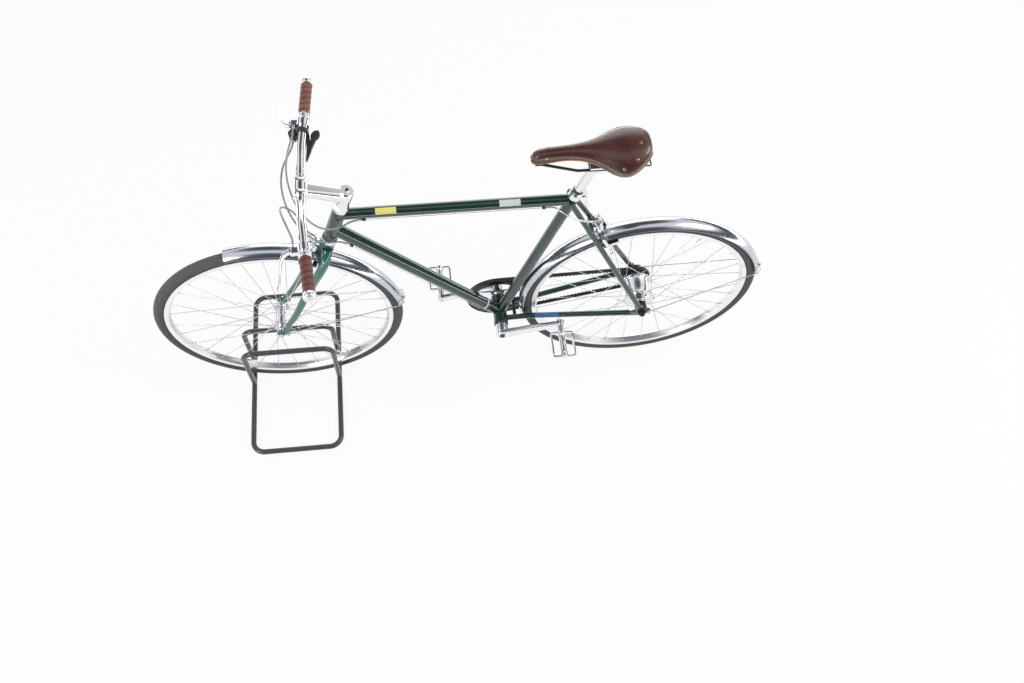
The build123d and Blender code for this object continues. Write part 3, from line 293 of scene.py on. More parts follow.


# Leather for the wound strip, with painted shade in the seams, which lie nearer the bar's middle line.
def makeGripLeather(name, tone, side):
    finish = Finish(name)
    spot, offset = finish.spot(), finish.spot(onBar(side, 0))
    way = tuple((onBar(side, 0.1) - onBar(side, 0)).normalized())
    crossed = finish.node("ShaderNodeVectorMath", {"operation": "CROSS_PRODUCT"}, {0: offset, 1: way})
    # Painted shade: where the strip sinks towards the bar's middle line, the colour drops to 0.3 of the tone.
    raised = finish.between(finish.length(crossed), grip["radius"] - 0.0014, grip["radius"] - 0.0003)
    grain = finish.noise(spot, 460, 4)
    pores = finish.cells(spot, 700)
    cloud = finish.noise(spot, 30, 5, 0.62)
    rub = finish.between(finish.noise(spot, 85, 5, 0.7), 0.5, 0.75)
    colour = finish.blendColour(cloud, shade(tone, 0.6), shade(tone, 1.35))
    worn = finish.blendColour(rub * 0.3, colour, shade(tone, 2.2))
    return finish.coat({
        "Base Color": finish.blendColour(raised, shade(tone, 0.3), worn), "Roughness": 0.40 + grain * 0.15,
        "Normal": finish.bump(grain * 0.6 + pores * 0.4, 0.3, 0.0007),
    })


# The sawn edge of the hide: pale, fibrous and dry.
def makeCutLeather():
    finish = Finish("cutLeather")
    fibre = finish.noise(finish.spot(scale=(1, 1, 4)), 420, 4)
    stain = finish.noise(finish.spot(), 40, 4, 0.6)
    colour = finish.blendColour(fibre * 0.5 + stain * 0.5, (0.20, 0.085, 0.035, 1), (0.52, 0.27, 0.13, 1))
    return finish.coat({
        "Base Color": colour, "Roughness": 0.7 + stain * 0.15, "Normal": finish.bump(fibre, 0.4, 0.0006),
    })


def makeLabel(name, first, second):
    finish = Finish(name)
    cloud = finish.noise(finish.spot(), 60, 4, 0.6)
    fibre = finish.noise(finish.spot(), 900, 2)
    return finish.coat({
        "Base Color": finish.blendColour(cloud, first, second), "Roughness": 0.35 + fibre * 0.15,
        "Normal": finish.bump(fibre, 0.1, 0.0002),
    })


finishes = {
    "frame_paint": makeFramePaint("framePaint", (0.0030, 0.030, 0.022), 0.12),
    "polished_alloy": makePolishedAlloy("polishedAlloy"),
    "chrome": makePolishedAlloy("chrome", (0.9, 0.9, 0.91), 0.05, grime=0.2),
    "steel_wire": makePolishedAlloy("steelWire", (0.66, 0.67, 0.69), 0.24, grime=0.4),
    "rubber_tyre": makePlain("plainRubber", (0.05, 0.05, 0.052), 0.65),
    "black_belt": makePlain("beltRubber", (0.020, 0.020, 0.022), 0.5, 0.0, 500),
    "black_alloy": makePlain("blackAlloy", (0.024, 0.024, 0.026), 0.34, 0.4),
    "black_plastic": makePlain("blackPlastic", (0.028, 0.028, 0.030), 0.40, 0.0, 420),
    "housing": makePlain("cableHousing", (0.30, 0.30, 0.31), 0.34, 0.2, 500, 0.0002, 0.4),
    "saddle_leather": makeSaddleLeather(),
    "grip_leather": makeGripLeather("gripLeather", (0.150, 0.046, 0.028), 1),
    "stand_paint": makePlain("standPaint", (0.055, 0.060, 0.068), 0.33, 0.1, 620, 0.0003, 0.5),
}
extras = {
    "fender": makePolishedAlloy("fenderAlloy", (0.58, 0.60, 0.65), 0.17, (1, 3, 1), 0.6),
    "rim": makePolishedAlloy("rimAlloy", (0.90, 0.90, 0.91), 0.30, (1, 1, 1), 0.3),
    "hub": makePolishedAlloy("hubAlloy", (0.80, 0.81, 0.83), 0.17),
    "nipple": makePolishedAlloy("nippleSteel", (0.60, 0.60, 0.61), 0.3),
    "brass": makePolishedAlloy("rivetBrass", (0.34, 0.22, 0.13), 0.34, grime=0.9),
    "cutLeather": makeCutLeather(),
    "frontTyre": makeTyreRubber("frontTyreRubber", layout["frontAxle"]),
    "rearTyre": makeTyreRubber("rearTyreRubber", layout["rearAxle"]),
    # The fork gets the frame's green made lighter and more metallic: a painted reflection of the bright room
    # on its blades.
    "forkPaintLightenedAsReflection": makeFramePaint("forkPaintLightenedAsReflection", (0.030, 0.125, 0.098), 0.45),
    "yellowLabel": makeLabel("yellowLabel", (0.80, 0.75, 0.15, 1), (0.92, 0.88, 0.26, 1)),
    "whiteLabel": makeLabel("whiteLabel", (0.62, 0.66, 0.70, 1), (0.85, 0.87, 0.90, 1)),
    "blueLabel": makeLabel("blueLabel", (0.03, 0.10, 0.30, 1), (0.05, 0.15, 0.42, 1)),
    "capSteel": makePolishedAlloy("barCapSteel", (0.78, 0.78, 0.79), 0.3),
    # The far grip's wrap is the near grip's leather painted lighter: painted light on one copy of the same
    # leather.
    "farGripPaintedLighter": makeGripLeather("farGripLeatherPaintedLighter", (0.230, 0.080, 0.052), -1),
}
print("finishes:", len(finishes) + len(extras))


# Pieces
def tidyMesh(mesh, crease, flat=0.05):
    work = bmesh.new()
    work.from_mesh(mesh)
    bmesh.ops.remove_doubles(work, verts=work.verts, dist=1e-6)
    bmesh.ops.dissolve_limit(work, angle_limit=radians(flat), verts=work.verts, edges=work.edges)
    smoothBy(work, crease)
    work.to_mesh(mesh)
    work.free()


def smoothBy(work, crease):
    for face in work.faces:
        face.smooth = True
    for edge in work.edges:
        edge.smooth = len(edge.link_faces) == 2 and edge.calc_face_angle(pi) < radians(crease)


def addPiece(name, mesh, body, finish):
    piece = bpy.data.objects.new(name, mesh)
    bpy.context.scene.collection.objects.link(piece)
    mesh.materials.clear()
    mesh.materials.append(finish)
    if body:
        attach(piece, body)
    return piece


def roundEdges(piece, width, crease=40, segments=2):
    edge = piece.modifiers.new("edge", "BEVEL")
    edge.width = width
    edge.segments = segments
    edge.limit_method = "ANGLE"
    edge.angle_limit = radians(crease)
    edge.use_clamp_overlap = True
    edge.harden_normals = True


def dressNode(node, slot, crease=32, bevel=0.0, finish=None):
    mesh = frame["nodes"][node].data.copy()
    for layer in [item for item in mesh.attributes if item.name == "custom_normal"]:
        mesh.attributes.remove(layer)
    tidyMesh(mesh, crease)
    piece = addPiece(node + "Dress", mesh, bodyOf[node], finish or finishes[slot])
    if bevel:
        roundEdges(piece, bevel)
    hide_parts(node)
    return piece


# A place whose Z runs along an axis and whose X keeps as near as it can to a chosen side.
def along(origin, axis, across=(0, 1, 0)):
    rise = Vector(axis).normalized()
    side = Vector(across)
    if abs(side.normalized().dot(rise)) > 0.95:
        side = Vector((1, 0, 0))
    side = (side - rise * side.dot(rise)).normalized()
    return Matrix.Translation(origin) @ Matrix((side, rise.cross(side), rise)).transposed().to_4x4()


# A closed outline of (radius, height) points turned about Z.
def turnedShape(outline, steps=32, closed=True):
    work = bmesh.new()
    points = [work.verts.new((radius, 0, height)) for radius, height in outline]
    pairs = list(zip(points, points[1:]))
    if closed:
        pairs.append((points[-1], points[0]))
    for first, second in pairs:
        work.edges.new((first, second))
    bmesh.ops.spin(
        work, geom=work.verts[:] + work.edges[:], cent=(0, 0, 0), axis=(0, 0, 1),
        angle=2 * pi, steps=steps, use_merge=True,
    )
    bmesh.ops.remove_doubles(work, verts=work.verts, dist=1e-6)
    bmesh.ops.recalc_face_normals(work, faces=work.faces)
    return work


# A screw head: a domed cap with a thin hexagon set at the middle of its top.
def screwHead(radius, height, socket=0.5):
    work = bmesh.new()
    bmesh.ops.create_cone(
        work, cap_ends=True, segments=24, radius1=radius, radius2=radius, depth=height,
        matrix=Matrix.Translation((0, 0, height / 2)),
    )
    top = next(face for face in work.faces if face.normal.z > 0.9)
    bmesh.ops.bevel(
        work, geom=top.edges[:], offset=min(radius, height) * 0.3, segments=2, profile=0.5,
        affect="EDGES", material=-1,
    )
    hexagon = bmesh.new()
    bmesh.ops.create_cone(
        hexagon, cap_ends=True, segments=6, radius1=radius * socket, radius2=radius * socket,
        depth=height * 0.06, matrix=Matrix.Translation((0, 0, height * 1.01)),
    )
    stamp(work, hexagon, [Matrix.Identity(4)])
    return work


# Copies a shape to each place and joins the copies to the target.
def stamp(target, shape, places):
    mesh = bpy.data.meshes.new("stamp")
    shape.to_mesh(mesh)
    shape.free()
    for place in places:
        mesh.transform(place)
        target.from_mesh(mesh)
        mesh.transform(place.inverted())
    bpy.data.meshes.remove(mesh)
    return target


def finishPiece(name, work, body, slot, finish=None, crease=35):
    smoothBy(work, crease)
    mesh = bpy.data.meshes.new(name)
    work.to_mesh(mesh)
    work.free()
    return addPiece(name, mesh, body, finish or finishes[slot])


# Round wires through listed points; smooth ones pass on a curve, others turn at each point.
def wireMesh(name, runs, radius, smooth=False, sides=2):
    curve = bpy.data.curves.new(name, "CURVE")
    curve.dimensions = "3D"
    curve.bevel_depth = radius
    curve.bevel_resolution = sides
    curve.use_fill_caps = True
    curve.resolution_u = 10
    for points in runs:
        spline = curve.splines.new("NURBS" if smooth else "POLY")
        spline.points.add(len(points) - 1)
        for control, point in zip(spline.points, points):
            control.co = (*point, 1)
        if smooth:
            spline.order_u = 3
            spline.use_endpoint_u = True
    holder = bpy.data.objects.new(name, curve)
    bpy.context.scene.collection.objects.link(holder)
    mesh = bpy.data.meshes.new_from_object(holder)
    bpy.data.objects.remove(holder)
    tidyMesh(mesh, 50, 0.0)
    return mesh


# Nodes that keep their own shape, with the width of the edge that each gets
slotOf = {entry["node"]: entry["material_slot"] for entry in frame["record"]["subparts"]}
dressed = {
    "front_rim": (0.0003, "rim"), "rear_rim": (0.0003, "rim"), "front_hub": (0.0005, "hub"),
    "rear_hub": (0.0006, "hub"), "front_axle": (0.0004, None), "rear_hub_cap": (0.0006, None),
    "rear_axle": (0.0004, None), "rear_cog": (0.0002, None), "belt_ring": (0.0002, None),
    "drive_belt": (0.0, None), "crank_right": (0.0007, None), "crank_left": (0.0007, None),
    "pedal_axles": (0.0004, None), "pedal_left": (0.0005, None), "pedal_right": (0.0005, None),
    "head_tube": (0.0, None), "top_tube": (0.0, None), "down_tube": (0.0, None), "seat_tube": (0.0, None),
    "bottom_bracket_shell": (0.0006, None), "chain_stays": (0.0006, None), "seat_stays": (0.0, None),
    "headset_cups": (0.0008, None), "seat_post": (0.0008, None), "seat_clamp": (0.0005, None),
    "saddle_frame": (0.0003, None), "fork": (0.0, "forkPaintLightenedAsReflection"),
    "stem": (0.0006, None), "handlebar": (0.0, None),
    "brake_lever_left": (0.0006, None), "brake_lever_right": (0.0006, None), "gear_shifter": (0.0006, None),
    "front_fender": (0.0, "fender"), "rear_fender": (0.0, "fender"), "front_fender_stays": (0.0003, None),
    "rear_fender_stays": (0.0003, None), "front_brake": (0.0007, None), "rear_brake": (0.0007, None),
    "wheel_stand": (0.0, None), "front_brake_cable": (0.0, None), "rear_brake_cable": (0.0, None),
    "shift_cable": (0.0, None),
}
dresses = {
    node: dressNode(node, slotOf[node], bevel=edge, finish=extras.get(finishName))
    for node, (edge, finishName) in dressed.items()
}
print("nodes dressed:", len(dresses))


# The fork's blades lean ahead in one long, even bend; crown and dropouts stay where they are.
forkBend = {"ahead": 0.023, "foot": 0.010, "straight": 0.050, "crown": 0.355, "lean": 0.62}


# A smooth step from 0 to 1.
def easeIn(value, low, high):
    share = min(1, max(0, (value - low) / (high - low)))
    return share * share * (3 - 2 * share)


for vertex in dresses["fork"].data.vertices:
    height = (vertex.co - steerFoot).dot(steerUp)
    share = min(1, max(0, (height - forkBend["foot"]) / (forkBend["crown"] - forkBend["foot"])))
    ease = sin(pi * share ** forkBend["lean"]) * easeIn(height, 0, forkBend["straight"])
    vertex.co += steerForward * (forkBend["ahead"] * ease)


# Tyres
tyre = {
    "crown": 0.343, "radius": 0.016, "grooveDepth": 0.0007, "lineHeight": 0.0003, "steps": 160,
    "grooves": (38, 58, 78, 102, 122, 142), "lines": (14, 22, 158, 166),
    "wall": ((0.307, 0.0098), (0.3165, 0.0099), (0.3185, 0.0113), (0.3205, 0.0132), (0.3240, 0.0152)),
}


def tyreOutline():
    outline = list(tyre["wall"])
    centre = tyre["crown"] - tyre["radius"]
    for turn in range(0, 181, 2):
        sunk = tyre["grooveDepth"] if turn in tyre["grooves"] else 0
        raised = tyre["lineHeight"] if turn in tyre["lines"] else 0
        reach = tyre["radius"] - sunk - tyre["lineHeight"] + raised
        outline.append((centre + reach * sin(radians(turn)), reach * cos(radians(turn))))
    return outline + [(radius, -width) for radius, width in reversed(tyre["wall"])]


def makeTyre(name, node, centre, body, finish):
    work = turnedShape(tyreOutline(), tyre["steps"])
    work.transform(along(centre, left))
    piece = finishPiece(name, work, body, "rubber_tyre", finish, crease=60)
    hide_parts(node)


makeTyre("frontTyre", "front_tyre", layout["frontAxle"], "front_wheel", extras["frontTyre"])
makeTyre("rearTyre", "rear_tyre", layout["rearAxle"], "rear_wheel", extras["rearTyre"])
print("tyres made")


# Spokes, their nipples and the valves
spoke = {
    "count": 32, "radius": 0.00095, "rimReach": 0.2974, "rimOffset": 0.0015, "lift": 0.0029,
    "extraLift": 0.0011, "holeEdge": 0.0045, "elbow": 0.0052, "elbowNeck": 0.0012, "elbowRun": 0.0016,
    "headInset": 0.0002, "nippleLength": 0.012, "nippleRadius": 0.0021, "sides": 8,
    "head": ((0.0, -0.0004), (0.0019, -0.0004), (0.0017, 0.0006), (0.0, 0.0010)),
    "nipple": ((0, 0), (1, 0), (1, 0.35), (0.72, 0.45), (0.66, 1), (0, 1)),  # shares of radius and length
    "front": (0.022, 0.032, 67.5), "rear": (0.046, 0.029, 45),  # flange radius and offset, crossing angle
}


def spokeEnds(centre, flangeRadius, flangeOffset, crossTurn):
    hole = flangeRadius - spoke["holeEdge"]
    for number in range(spoke["count"]):
        side = 1 if number % 2 == 0 else -1
        outward = 1 if (number // 2) % 2 == 0 else -1
        rimTurn = 2 * pi / spoke["count"] * number
        hubTurn = rimTurn + outward * radians(crossTurn)
        lift = spoke["lift"] + (spoke["extraLift"] if outward > 0 else 0)
        across = side * (flangeOffset + outward * lift)
        start = centre + Vector((hole * cos(hubTurn), across, hole * sin(hubTurn)))
        reach = spoke["rimReach"]
        end = centre + Vector((reach * cos(rimTurn), side * spoke["rimOffset"], reach * sin(rimTurn)))
        yield start, end, side * outward


def makeSpokes(name, node, centre, hub, body):
    runs = []
    nipplePlaces = []
    headPlaces = []
    for start, end, way in spokeEnds(centre, *hub):
        bend = start + (end - start).normalized() * spoke["elbowRun"]
        inner = start - left * way * spoke["elbow"]
        runs.append([inner, start - left * way * spoke["elbowNeck"], bend, end])
        nipplePlaces.append(along(end, start - end))
        headPlaces.append(along(inner + left * way * spoke["headInset"], -left * way))
    work = bmesh.new()
    work.from_mesh(wireMesh(name + "Wire", runs, spoke["radius"]))
    nipple = turnedShape(
        [(spoke["nippleRadius"] * out, spoke["nippleLength"] * up) for out, up in spoke["nipple"]],
        spoke["sides"], closed=False,
    )
    stamp(work, turnedShape(spoke["head"], spoke["sides"], closed=False), headPlaces)
    piece = finishPiece(name, work, body, "steel_wire", crease=50)
    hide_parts(node)
    nipples = stamp(bmesh.new(), nipple, nipplePlaces)
    finishPiece(name + "Nipples", nipples, body, "steel_wire", extras["nipple"])


makeSpokes("frontSpokes", "front_spokes", layout["frontAxle"], spoke["front"], "front_wheel")
makeSpokes("rearSpokes", "rear_spokes", layout["rearAxle"], spoke["rear"], "rear_wheel")

valve = {
    "outline": (
        (0.0, 0.0), (0.0042, 0.0), (0.0042, 0.0022), (0.0030, 0.0026), (0.0029, 0.020), (0.0022, 0.021),
        (0.0022, 0.024), (0.0027, 0.0245), (0.0026, 0.033), (0.0012, 0.0345), (0.0, 0.0345),
    ),
    "sides": 16, "reach": 0.2975, "frontTurn": 241, "rearTurn": 118,
}


def makeValve(name, centre, turn, body):
    out = Vector((cos(radians(turn)), 0, sin(radians(turn))))
    stem = turnedShape(valve["outline"], valve["sides"], closed=False)
    stem.transform(along(centre + out * valve["reach"], -out))
    finishPiece(name, stem, body, "steel_wire", extras["hub"])


makeValve("frontValve", layout["frontAxle"], valve["frontTurn"], "front_wheel")
makeValve("rearValve", layout["rearAxle"], valve["rearTurn"], "rear_wheel")
print("spokes and valves made")


# Fender edges, rolled round a wire
fender = {
    "edgeRadius": 0.3395, "half": 0.0217, "bead": 0.0009, "sides": 8, "stepTurn": 2.5,
    "front": (75, 172), "rear": (-10, 167),
}


def makeFenderEdges(name, axle, turns, body):
    work = bmesh.new()
    for side in (1, -1):
        arc = bmesh.new()
        bmesh.ops.create_circle(arc, cap_ends=True, segments=fender["sides"], radius=fender["bead"])
        arc.transform(Matrix.Rotation(pi / 2, 4, "X"))
        arc.transform(Matrix.Translation((fender["edgeRadius"], 0, 0)))
        low, high = turns
        steps = int((high - low) / fender["stepTurn"])
        arc.transform(Matrix.Rotation(-radians(low), 4, "Y"))
        bmesh.ops.spin(
            arc, geom=arc.verts[:] + arc.edges[:] + arc.faces[:], cent=(0, 0, 0), axis=(0, 1, 0),
            angle=-radians(high - low), steps=steps,
        )
        bmesh.ops.remove_doubles(arc, verts=arc.verts, dist=1e-6)
        bmesh.ops.recalc_face_normals(arc, faces=arc.faces)
        stamp(work, arc, [Matrix.Translation(axle + left * side * fender["half"])])
    finishPiece(name, work, body, "polished_alloy", crease=60)


makeFenderEdges("frontFenderEdges", layout["frontAxle"], fender["front"], "front_assembly")
makeFenderEdges("rearFenderEdges", layout["rearAxle"], fender["rear"], "frame")
print("fender edges made")


# A leather strip wound along the bar, with a sunk seam at each turn
def makeGrip(name, node, side, finish):
    work = bmesh.new()
    radius = grip["radius"]
    low = radius - grip["step"]
    pitch = grip["pitch"]
    shape = [
        (low, 0.0), (low + 0.0002, 0.0008), (radius - 0.0003, 0.0017), (radius, 0.0030),
        (radius - 0.0001, pitch * 0.50), (radius - 0.0004, pitch * 0.80),
        (low + 0.0003, pitch * 0.95), (low, pitch),
    ]
    points = [work.verts.new((reach, 0, height - pitch)) for reach, height in shape]
    for first, second in zip(points, points[1:]):
        work.edges.new((first, second))
    steps = grip["stepsPerTurn"]
    bmesh.ops.spin(
        work, geom=work.verts[:] + work.edges[:], cent=(0, 0, 0), axis=(0, 0, 1),
        dvec=(0, 0, pitch / steps), angle=2 * pi * grip["turns"], steps=steps * grip["turns"],
    )
    bmesh.ops.remove_doubles(work, verts=work.verts, dist=2e-5)
    for height, way in ((0.0, -1), (grip["length"], 1)):
        bmesh.ops.bisect_plane(
            work, geom=work.verts[:] + work.edges[:] + work.faces[:], plane_co=(0, 0, height),
            plane_no=(0, 0, way), clear_outer=True,
        )
    bmesh.ops.remove_doubles(work, verts=work.verts, dist=2e-5)
    bmesh.ops.holes_fill(work, edges=[edge for edge in work.edges if edge.is_boundary])
    bmesh.ops.recalc_face_normals(work, faces=work.faces)
    start = onBar(side, grip["outer"])
    work.transform(along(start, onBar(side, grip["outer"] + 0.1) - start, (0, 0, 1)))
    piece = finishPiece(name, work, "front_assembly", "grip_leather", finish, crease=40)
    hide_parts(node)


makeGrip("leftGripWrap", "grip_left", 1, finishes["grip_leather"])
makeGrip("rightGripWrap", "grip_right", -1, extras["farGripPaintedLighter"])


# The clamp ring at a grip's inner end, the cap on the bar's end, and their screws
collar = {
    "ring": (
        (0.0113, 0.0), (0.0143, 0.0), (0.0150, 0.0008), (0.0150, 0.0022), (0.0145, 0.0026), (0.0145, 0.0090),
        (0.0150, 0.0094), (0.0150, 0.0110), (0.0143, 0.0118), (0.0113, 0.0118),
    ),
    "cap": (
        (0.0, 0.0), (0.0143, 0.0), (0.0150, 0.0008), (0.0150, 0.0100), (0.0140, 0.0136), (0.0118, 0.0150),
        (0.0112, 0.0146), (0.0100, 0.0144), (0.0, 0.0146),
    ),
    "sides": 48, "ringFoot": 0.1169, "capFoot": 0.0120, "endScrew": -0.0024, "sideScrews": (0.0061, 0.1110),
    "screwReach": 0.0142,
}


def makeCollars():
    work = bmesh.new()
    screws = bmesh.new()
    for side in (1, -1):
        outward = onBar(side, 0) - onBar(side, 0.1)
        ring = turnedShape(collar["ring"], collar["sides"])
        stamp(work, ring, [along(onBar(side, collar["ringFoot"]), outward)])
        cap = turnedShape(collar["cap"], collar["sides"], closed=False)
        stamp(work, cap, [along(onBar(side, collar["capFoot"]), outward)])
        stamp(screws, screwHead(0.0030, 0.0012, 0.55), [along(onBar(side, collar["endScrew"]), outward)])
        for inboard in collar["sideScrews"]:
            spot = onBar(side, inboard) + Vector((collar["screwReach"], 0, 0))
            stamp(screws, screwHead(0.0024, 0.0012), [along(spot, (1, 0, 0))])
    steel = extras["capSteel"]
    piece = finishPiece("gripCollars", work, "front_assembly", "polished_alloy", steel, crease=50)
    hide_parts("grip_collars")
    finishPiece("gripCollarScrews", screws, "front_assembly", "steel_wire")


makeCollars()
print("grips made")


# Saddle: a hide drawn over the nose and the cantle, its sawn edge bare, and its rivets
saddle = {
    "stations": (  # ahead of the post, half width, rise, crown drop, skirt depth
        (-0.1190, 0.010, 0.056, 0.002, 0.003), (-0.1225, 0.020, 0.065, 0.004, 0.006),
        (-0.1165, 0.0370, 0.0750, 0.008, 0.010), (-0.1000, 0.0545, 0.0790, 0.015, 0.016),
        (-0.0760, 0.0700, 0.0780, 0.022, 0.021), (-0.0480, 0.0715, 0.0740, 0.024, 0.022),
        (-0.0200, 0.0555, 0.0690, 0.020, 0.019), (0.0080, 0.0345, 0.0645, 0.014, 0.014),
        (0.0400, 0.0225, 0.0610, 0.010, 0.010), (0.0800, 0.0180, 0.0580, 0.009, 0.010),
        (0.1150, 0.0185, 0.0555, 0.009, 0.014), (0.1400, 0.0185, 0.0510, 0.009, 0.015),
        (0.1530, 0.0130, 0.0430, 0.006, 0.011), (0.1560, 0.0070, 0.0350, 0.003, 0.006),
    ),
    "across": (
        (0.0, 0.0, 0.0), (0.30, 0.10, 0.0), (0.56, 0.34, 0.0), (0.78, 0.72, 0.06), (0.93, 1.0, 0.42),
        (1.0, 1.0, 1.0),
    ),
    "levels": 3, "thickness": 0.0042, "edgeProud": 0.0003, "lip": 0.0016, "flare": 0.0022,
    "centre": Vector((-0.02, 0, 0)), "endShare": 0.15, "castHeight": 0.12,
    "rivetRadius": 0.0042, "rivetSunk": 0.0003, "rivetSides": 20,
    "rivet": ((0, 0.0), (1, 0.0), (0.95, 0.0005), (0.7, 0.0010), (0.35, 0.0013), (0, 0.0014)),
    "rivets": (
        (0.132, -0.0065), (0.123, 0.0155), (0.116, -0.0150), (-0.050, 0.061), (-0.080, 0.050),
        (-0.092, 0.0125), (-0.097, -0.036), (-0.052, -0.0600),
    ),
}


# Rows of points across the seat, from the cantle to the nose, bridged to one sheet.
def hideCage():
    work = bmesh.new()
    rows = []
    for ahead, half, rise, drop, skirt in saddle["stations"]:
        shape = saddle["across"]
        line = [(-side, crown, depth) for side, crown, depth in shape[:0:-1]] + list(shape)
        row = []
        for side, crown, depth in line:
            spot = Vector((ahead, side * half, rise - crown * drop - depth * skirt))
            row.append(work.verts.new(layout["rails"] + spot))
        for first, second in zip(row, row[1:]):
            work.edges.new((first, second))
        rows.append([edge for edge in work.edges if edge.verts[0] in row and edge.verts[1] in row])
    for first, second in zip(rows, rows[1:]):
        bmesh.ops.bridge_loops(work, edges=first + second)
    return work


def finishedMesh(name, work, levels):
    mesh = bpy.data.meshes.new(name)
    work.to_mesh(mesh)
    work.free()
    holder = bpy.data.objects.new(name, mesh)
    bpy.context.scene.collection.objects.link(holder)
    smooth = holder.modifiers.new("smooth", "SUBSURF")
    smooth.levels = levels
    smooth.render_levels = levels
    bpy.context.view_layer.update()
    made = bpy.data.meshes.new_from_object(holder.evaluated_get(bpy.context.evaluated_depsgraph_get()))
    bpy.data.objects.remove(holder)
    return made


# The lip flares out round the sheet's border and is split off, since it shows the sawn edge.
def makeSaddle():
    cage = hideCage()
    bmesh.ops.recalc_face_normals(cage, faces=cage.faces)
    hide = finishedMesh("hideShape", cage, saddle["levels"])
    work = bmesh.new()
    work.from_mesh(hide)
    if sum(face.normal.z for face in work.faces) < 0:
        bmesh.ops.reverse_faces(work, faces=work.faces)
    tree = BVHTree.FromBMesh(work)
    border = [edge for edge in work.edges if edge.is_boundary]
    lip = bmesh.ops.extrude_edge_only(work, edges=border)["geom"]
    for vertex in [item for item in lip if isinstance(item, bmesh.types.BMVert)]:
        offset = vertex.co - layout["rails"] - saddle["centre"]
        away = Vector((offset.x * saddle["endShare"], offset.y, 0)).normalized()
        vertex.co += away * saddle["flare"] - Vector((0, 0, saddle["lip"]))
    lipFaces = [item for item in lip if isinstance(item, bmesh.types.BMFace)]
    edgeWork = work.copy()
    edgeWork.faces.ensure_lookup_table()
    work.faces.index_update()
    lipNumbers = {face.index for face in lipFaces}
    bmesh.ops.delete(
        edgeWork, geom=[face for face in edgeWork.faces if face.index not in lipNumbers], context="FACES",
    )
    bmesh.ops.delete(work, geom=lipFaces, context="FACES")
    bmesh.ops.solidify(work, geom=work.faces[:], thickness=saddle["thickness"])
    piece = finishPiece("saddleHide", work, "frame", "saddle_leather", crease=60)
    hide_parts("saddle_leather")
    bmesh.ops.solidify(edgeWork, geom=edgeWork.faces[:], thickness=saddle["thickness"] + saddle["edgeProud"])
    finishPiece("hideEdge", edgeWork, "frame", "saddle_leather", extras["cutLeather"], crease=60)
    return tree


def makeRivets(tree):
    work = bmesh.new()
    places = []
    for ahead, side in saddle["rivets"]:
        above = layout["rails"] + Vector((ahead, side, saddle["castHeight"]))
        spot, normal = tree.ray_cast(above, Vector((0, 0, -1)))[:2]
        if spot is not None:
            places.append(along(spot - normal * saddle["rivetSunk"], normal if normal.z > 0 else -normal))
    outline = [(saddle["rivetRadius"] * out, up) for out, up in saddle["rivet"]]
    stamp(work, turnedShape(outline, saddle["rivetSides"], closed=False), places)
    finishPiece("saddleRivets", work, "frame", "saddle_leather", extras["brass"])
    print("rivets:", len(places))


makeRivets(makeSaddle())
print("saddle made")


# Brake blocks over the calipers' blank pads
brake = {
    "front": ((0.36819, 0, 0.70279), (0.94832, 0, 0.3173), (-0.3173, 0, 0.94832), 0.079776),
    "rear": ((-0.33327, 0, 0.69833), (-0.89044, 0, 0.4551), (0.4551, 0, 0.89044), 0.085122),
    "middle": 0.0145, "rimSide": 0.014, "thickness": 0.008, "length": 0.046, "height": 0.010, "proud": 0.0004,
    "cornerRadius": 0.0034, "cuts": (-0.012, 0.0, 0.012), "nutSide": 0.0468, "pivotAhead": 0.0233,
}


def brakePlace(origin, ahead, up):
    ahead, up = Vector(ahead), Vector(up)
    return Matrix.Translation(origin) @ Matrix((ahead, up.cross(ahead), up)).transposed().to_4x4()


def makeBrakeBlocks(name, origin, ahead, up, reach, body):
    place = brakePlace(origin, ahead, up)
    work = bmesh.new()
    for side in (1, -1):
        block = bmesh.new()
        grow = brake["proud"] * 2
        bmesh.ops.create_cube(block, size=1)
        bmesh.ops.scale(
            block, verts=block.verts,
            vec=(brake["length"] + grow, brake["thickness"] * 0.8, brake["height"] + grow),
        )
        ends = [edge for edge in block.edges if abs((edge.verts[0].co - edge.verts[1].co).y) > 1e-4]
        bmesh.ops.bevel(
            block, geom=ends, offset=brake["cornerRadius"], segments=4, profile=0.5,
            affect="EDGES", material=-1,
        )
        for cut in brake["cuts"]:
            bmesh.ops.bisect_plane(
                block, geom=block.verts[:] + block.edges[:] + block.faces[:], plane_co=(cut, 0, 0),
                plane_no=(1, 0, 0),
            )
        across = side * (brake["rimSide"] + brake["thickness"] * 0.4)
        block.transform(Matrix.Translation((brake["middle"], across, -reach)))
        stamp(work, block, [place])
    finishPiece(name, work, body, "black_plastic")
    nuts = bmesh.new()
    for side in (1, -1):
        spot = place @ Vector((brake["middle"], side * brake["nutSide"], -reach))
        stamp(nuts, screwHead(0.0048, 0.0035), [along(spot, place.to_3x3() @ Vector((0, side, 0)))])
    pivot = place @ Vector((brake["pivotAhead"], 0, 0))
    stamp(nuts, screwHead(0.0062, 0.003), [along(pivot, place.to_3x3() @ Vector((1, 0, 0)))])
    finishPiece(name + "Nuts", nuts, body, "black_alloy", finishes["steel_wire"])


makeBrakeBlocks("frontBrakeBlocks", *brake["front"], "front_assembly")
makeBrakeBlocks("rearBrakeBlocks", *brake["rear"], "frame")
print("brake blocks made")


# Bolts and screws
bolts = {
    "crankFace": 0.0825, "spiderRadius": 0.064, "crankTurn": 13, "spiderFaces": (-0.0609, -0.0497),
    "stemRoot": 0.5935, "stemTop": 0.6183, "clampSide": 0.017, "clampRise": 0.0157, "clampFace": 0.0108,
}


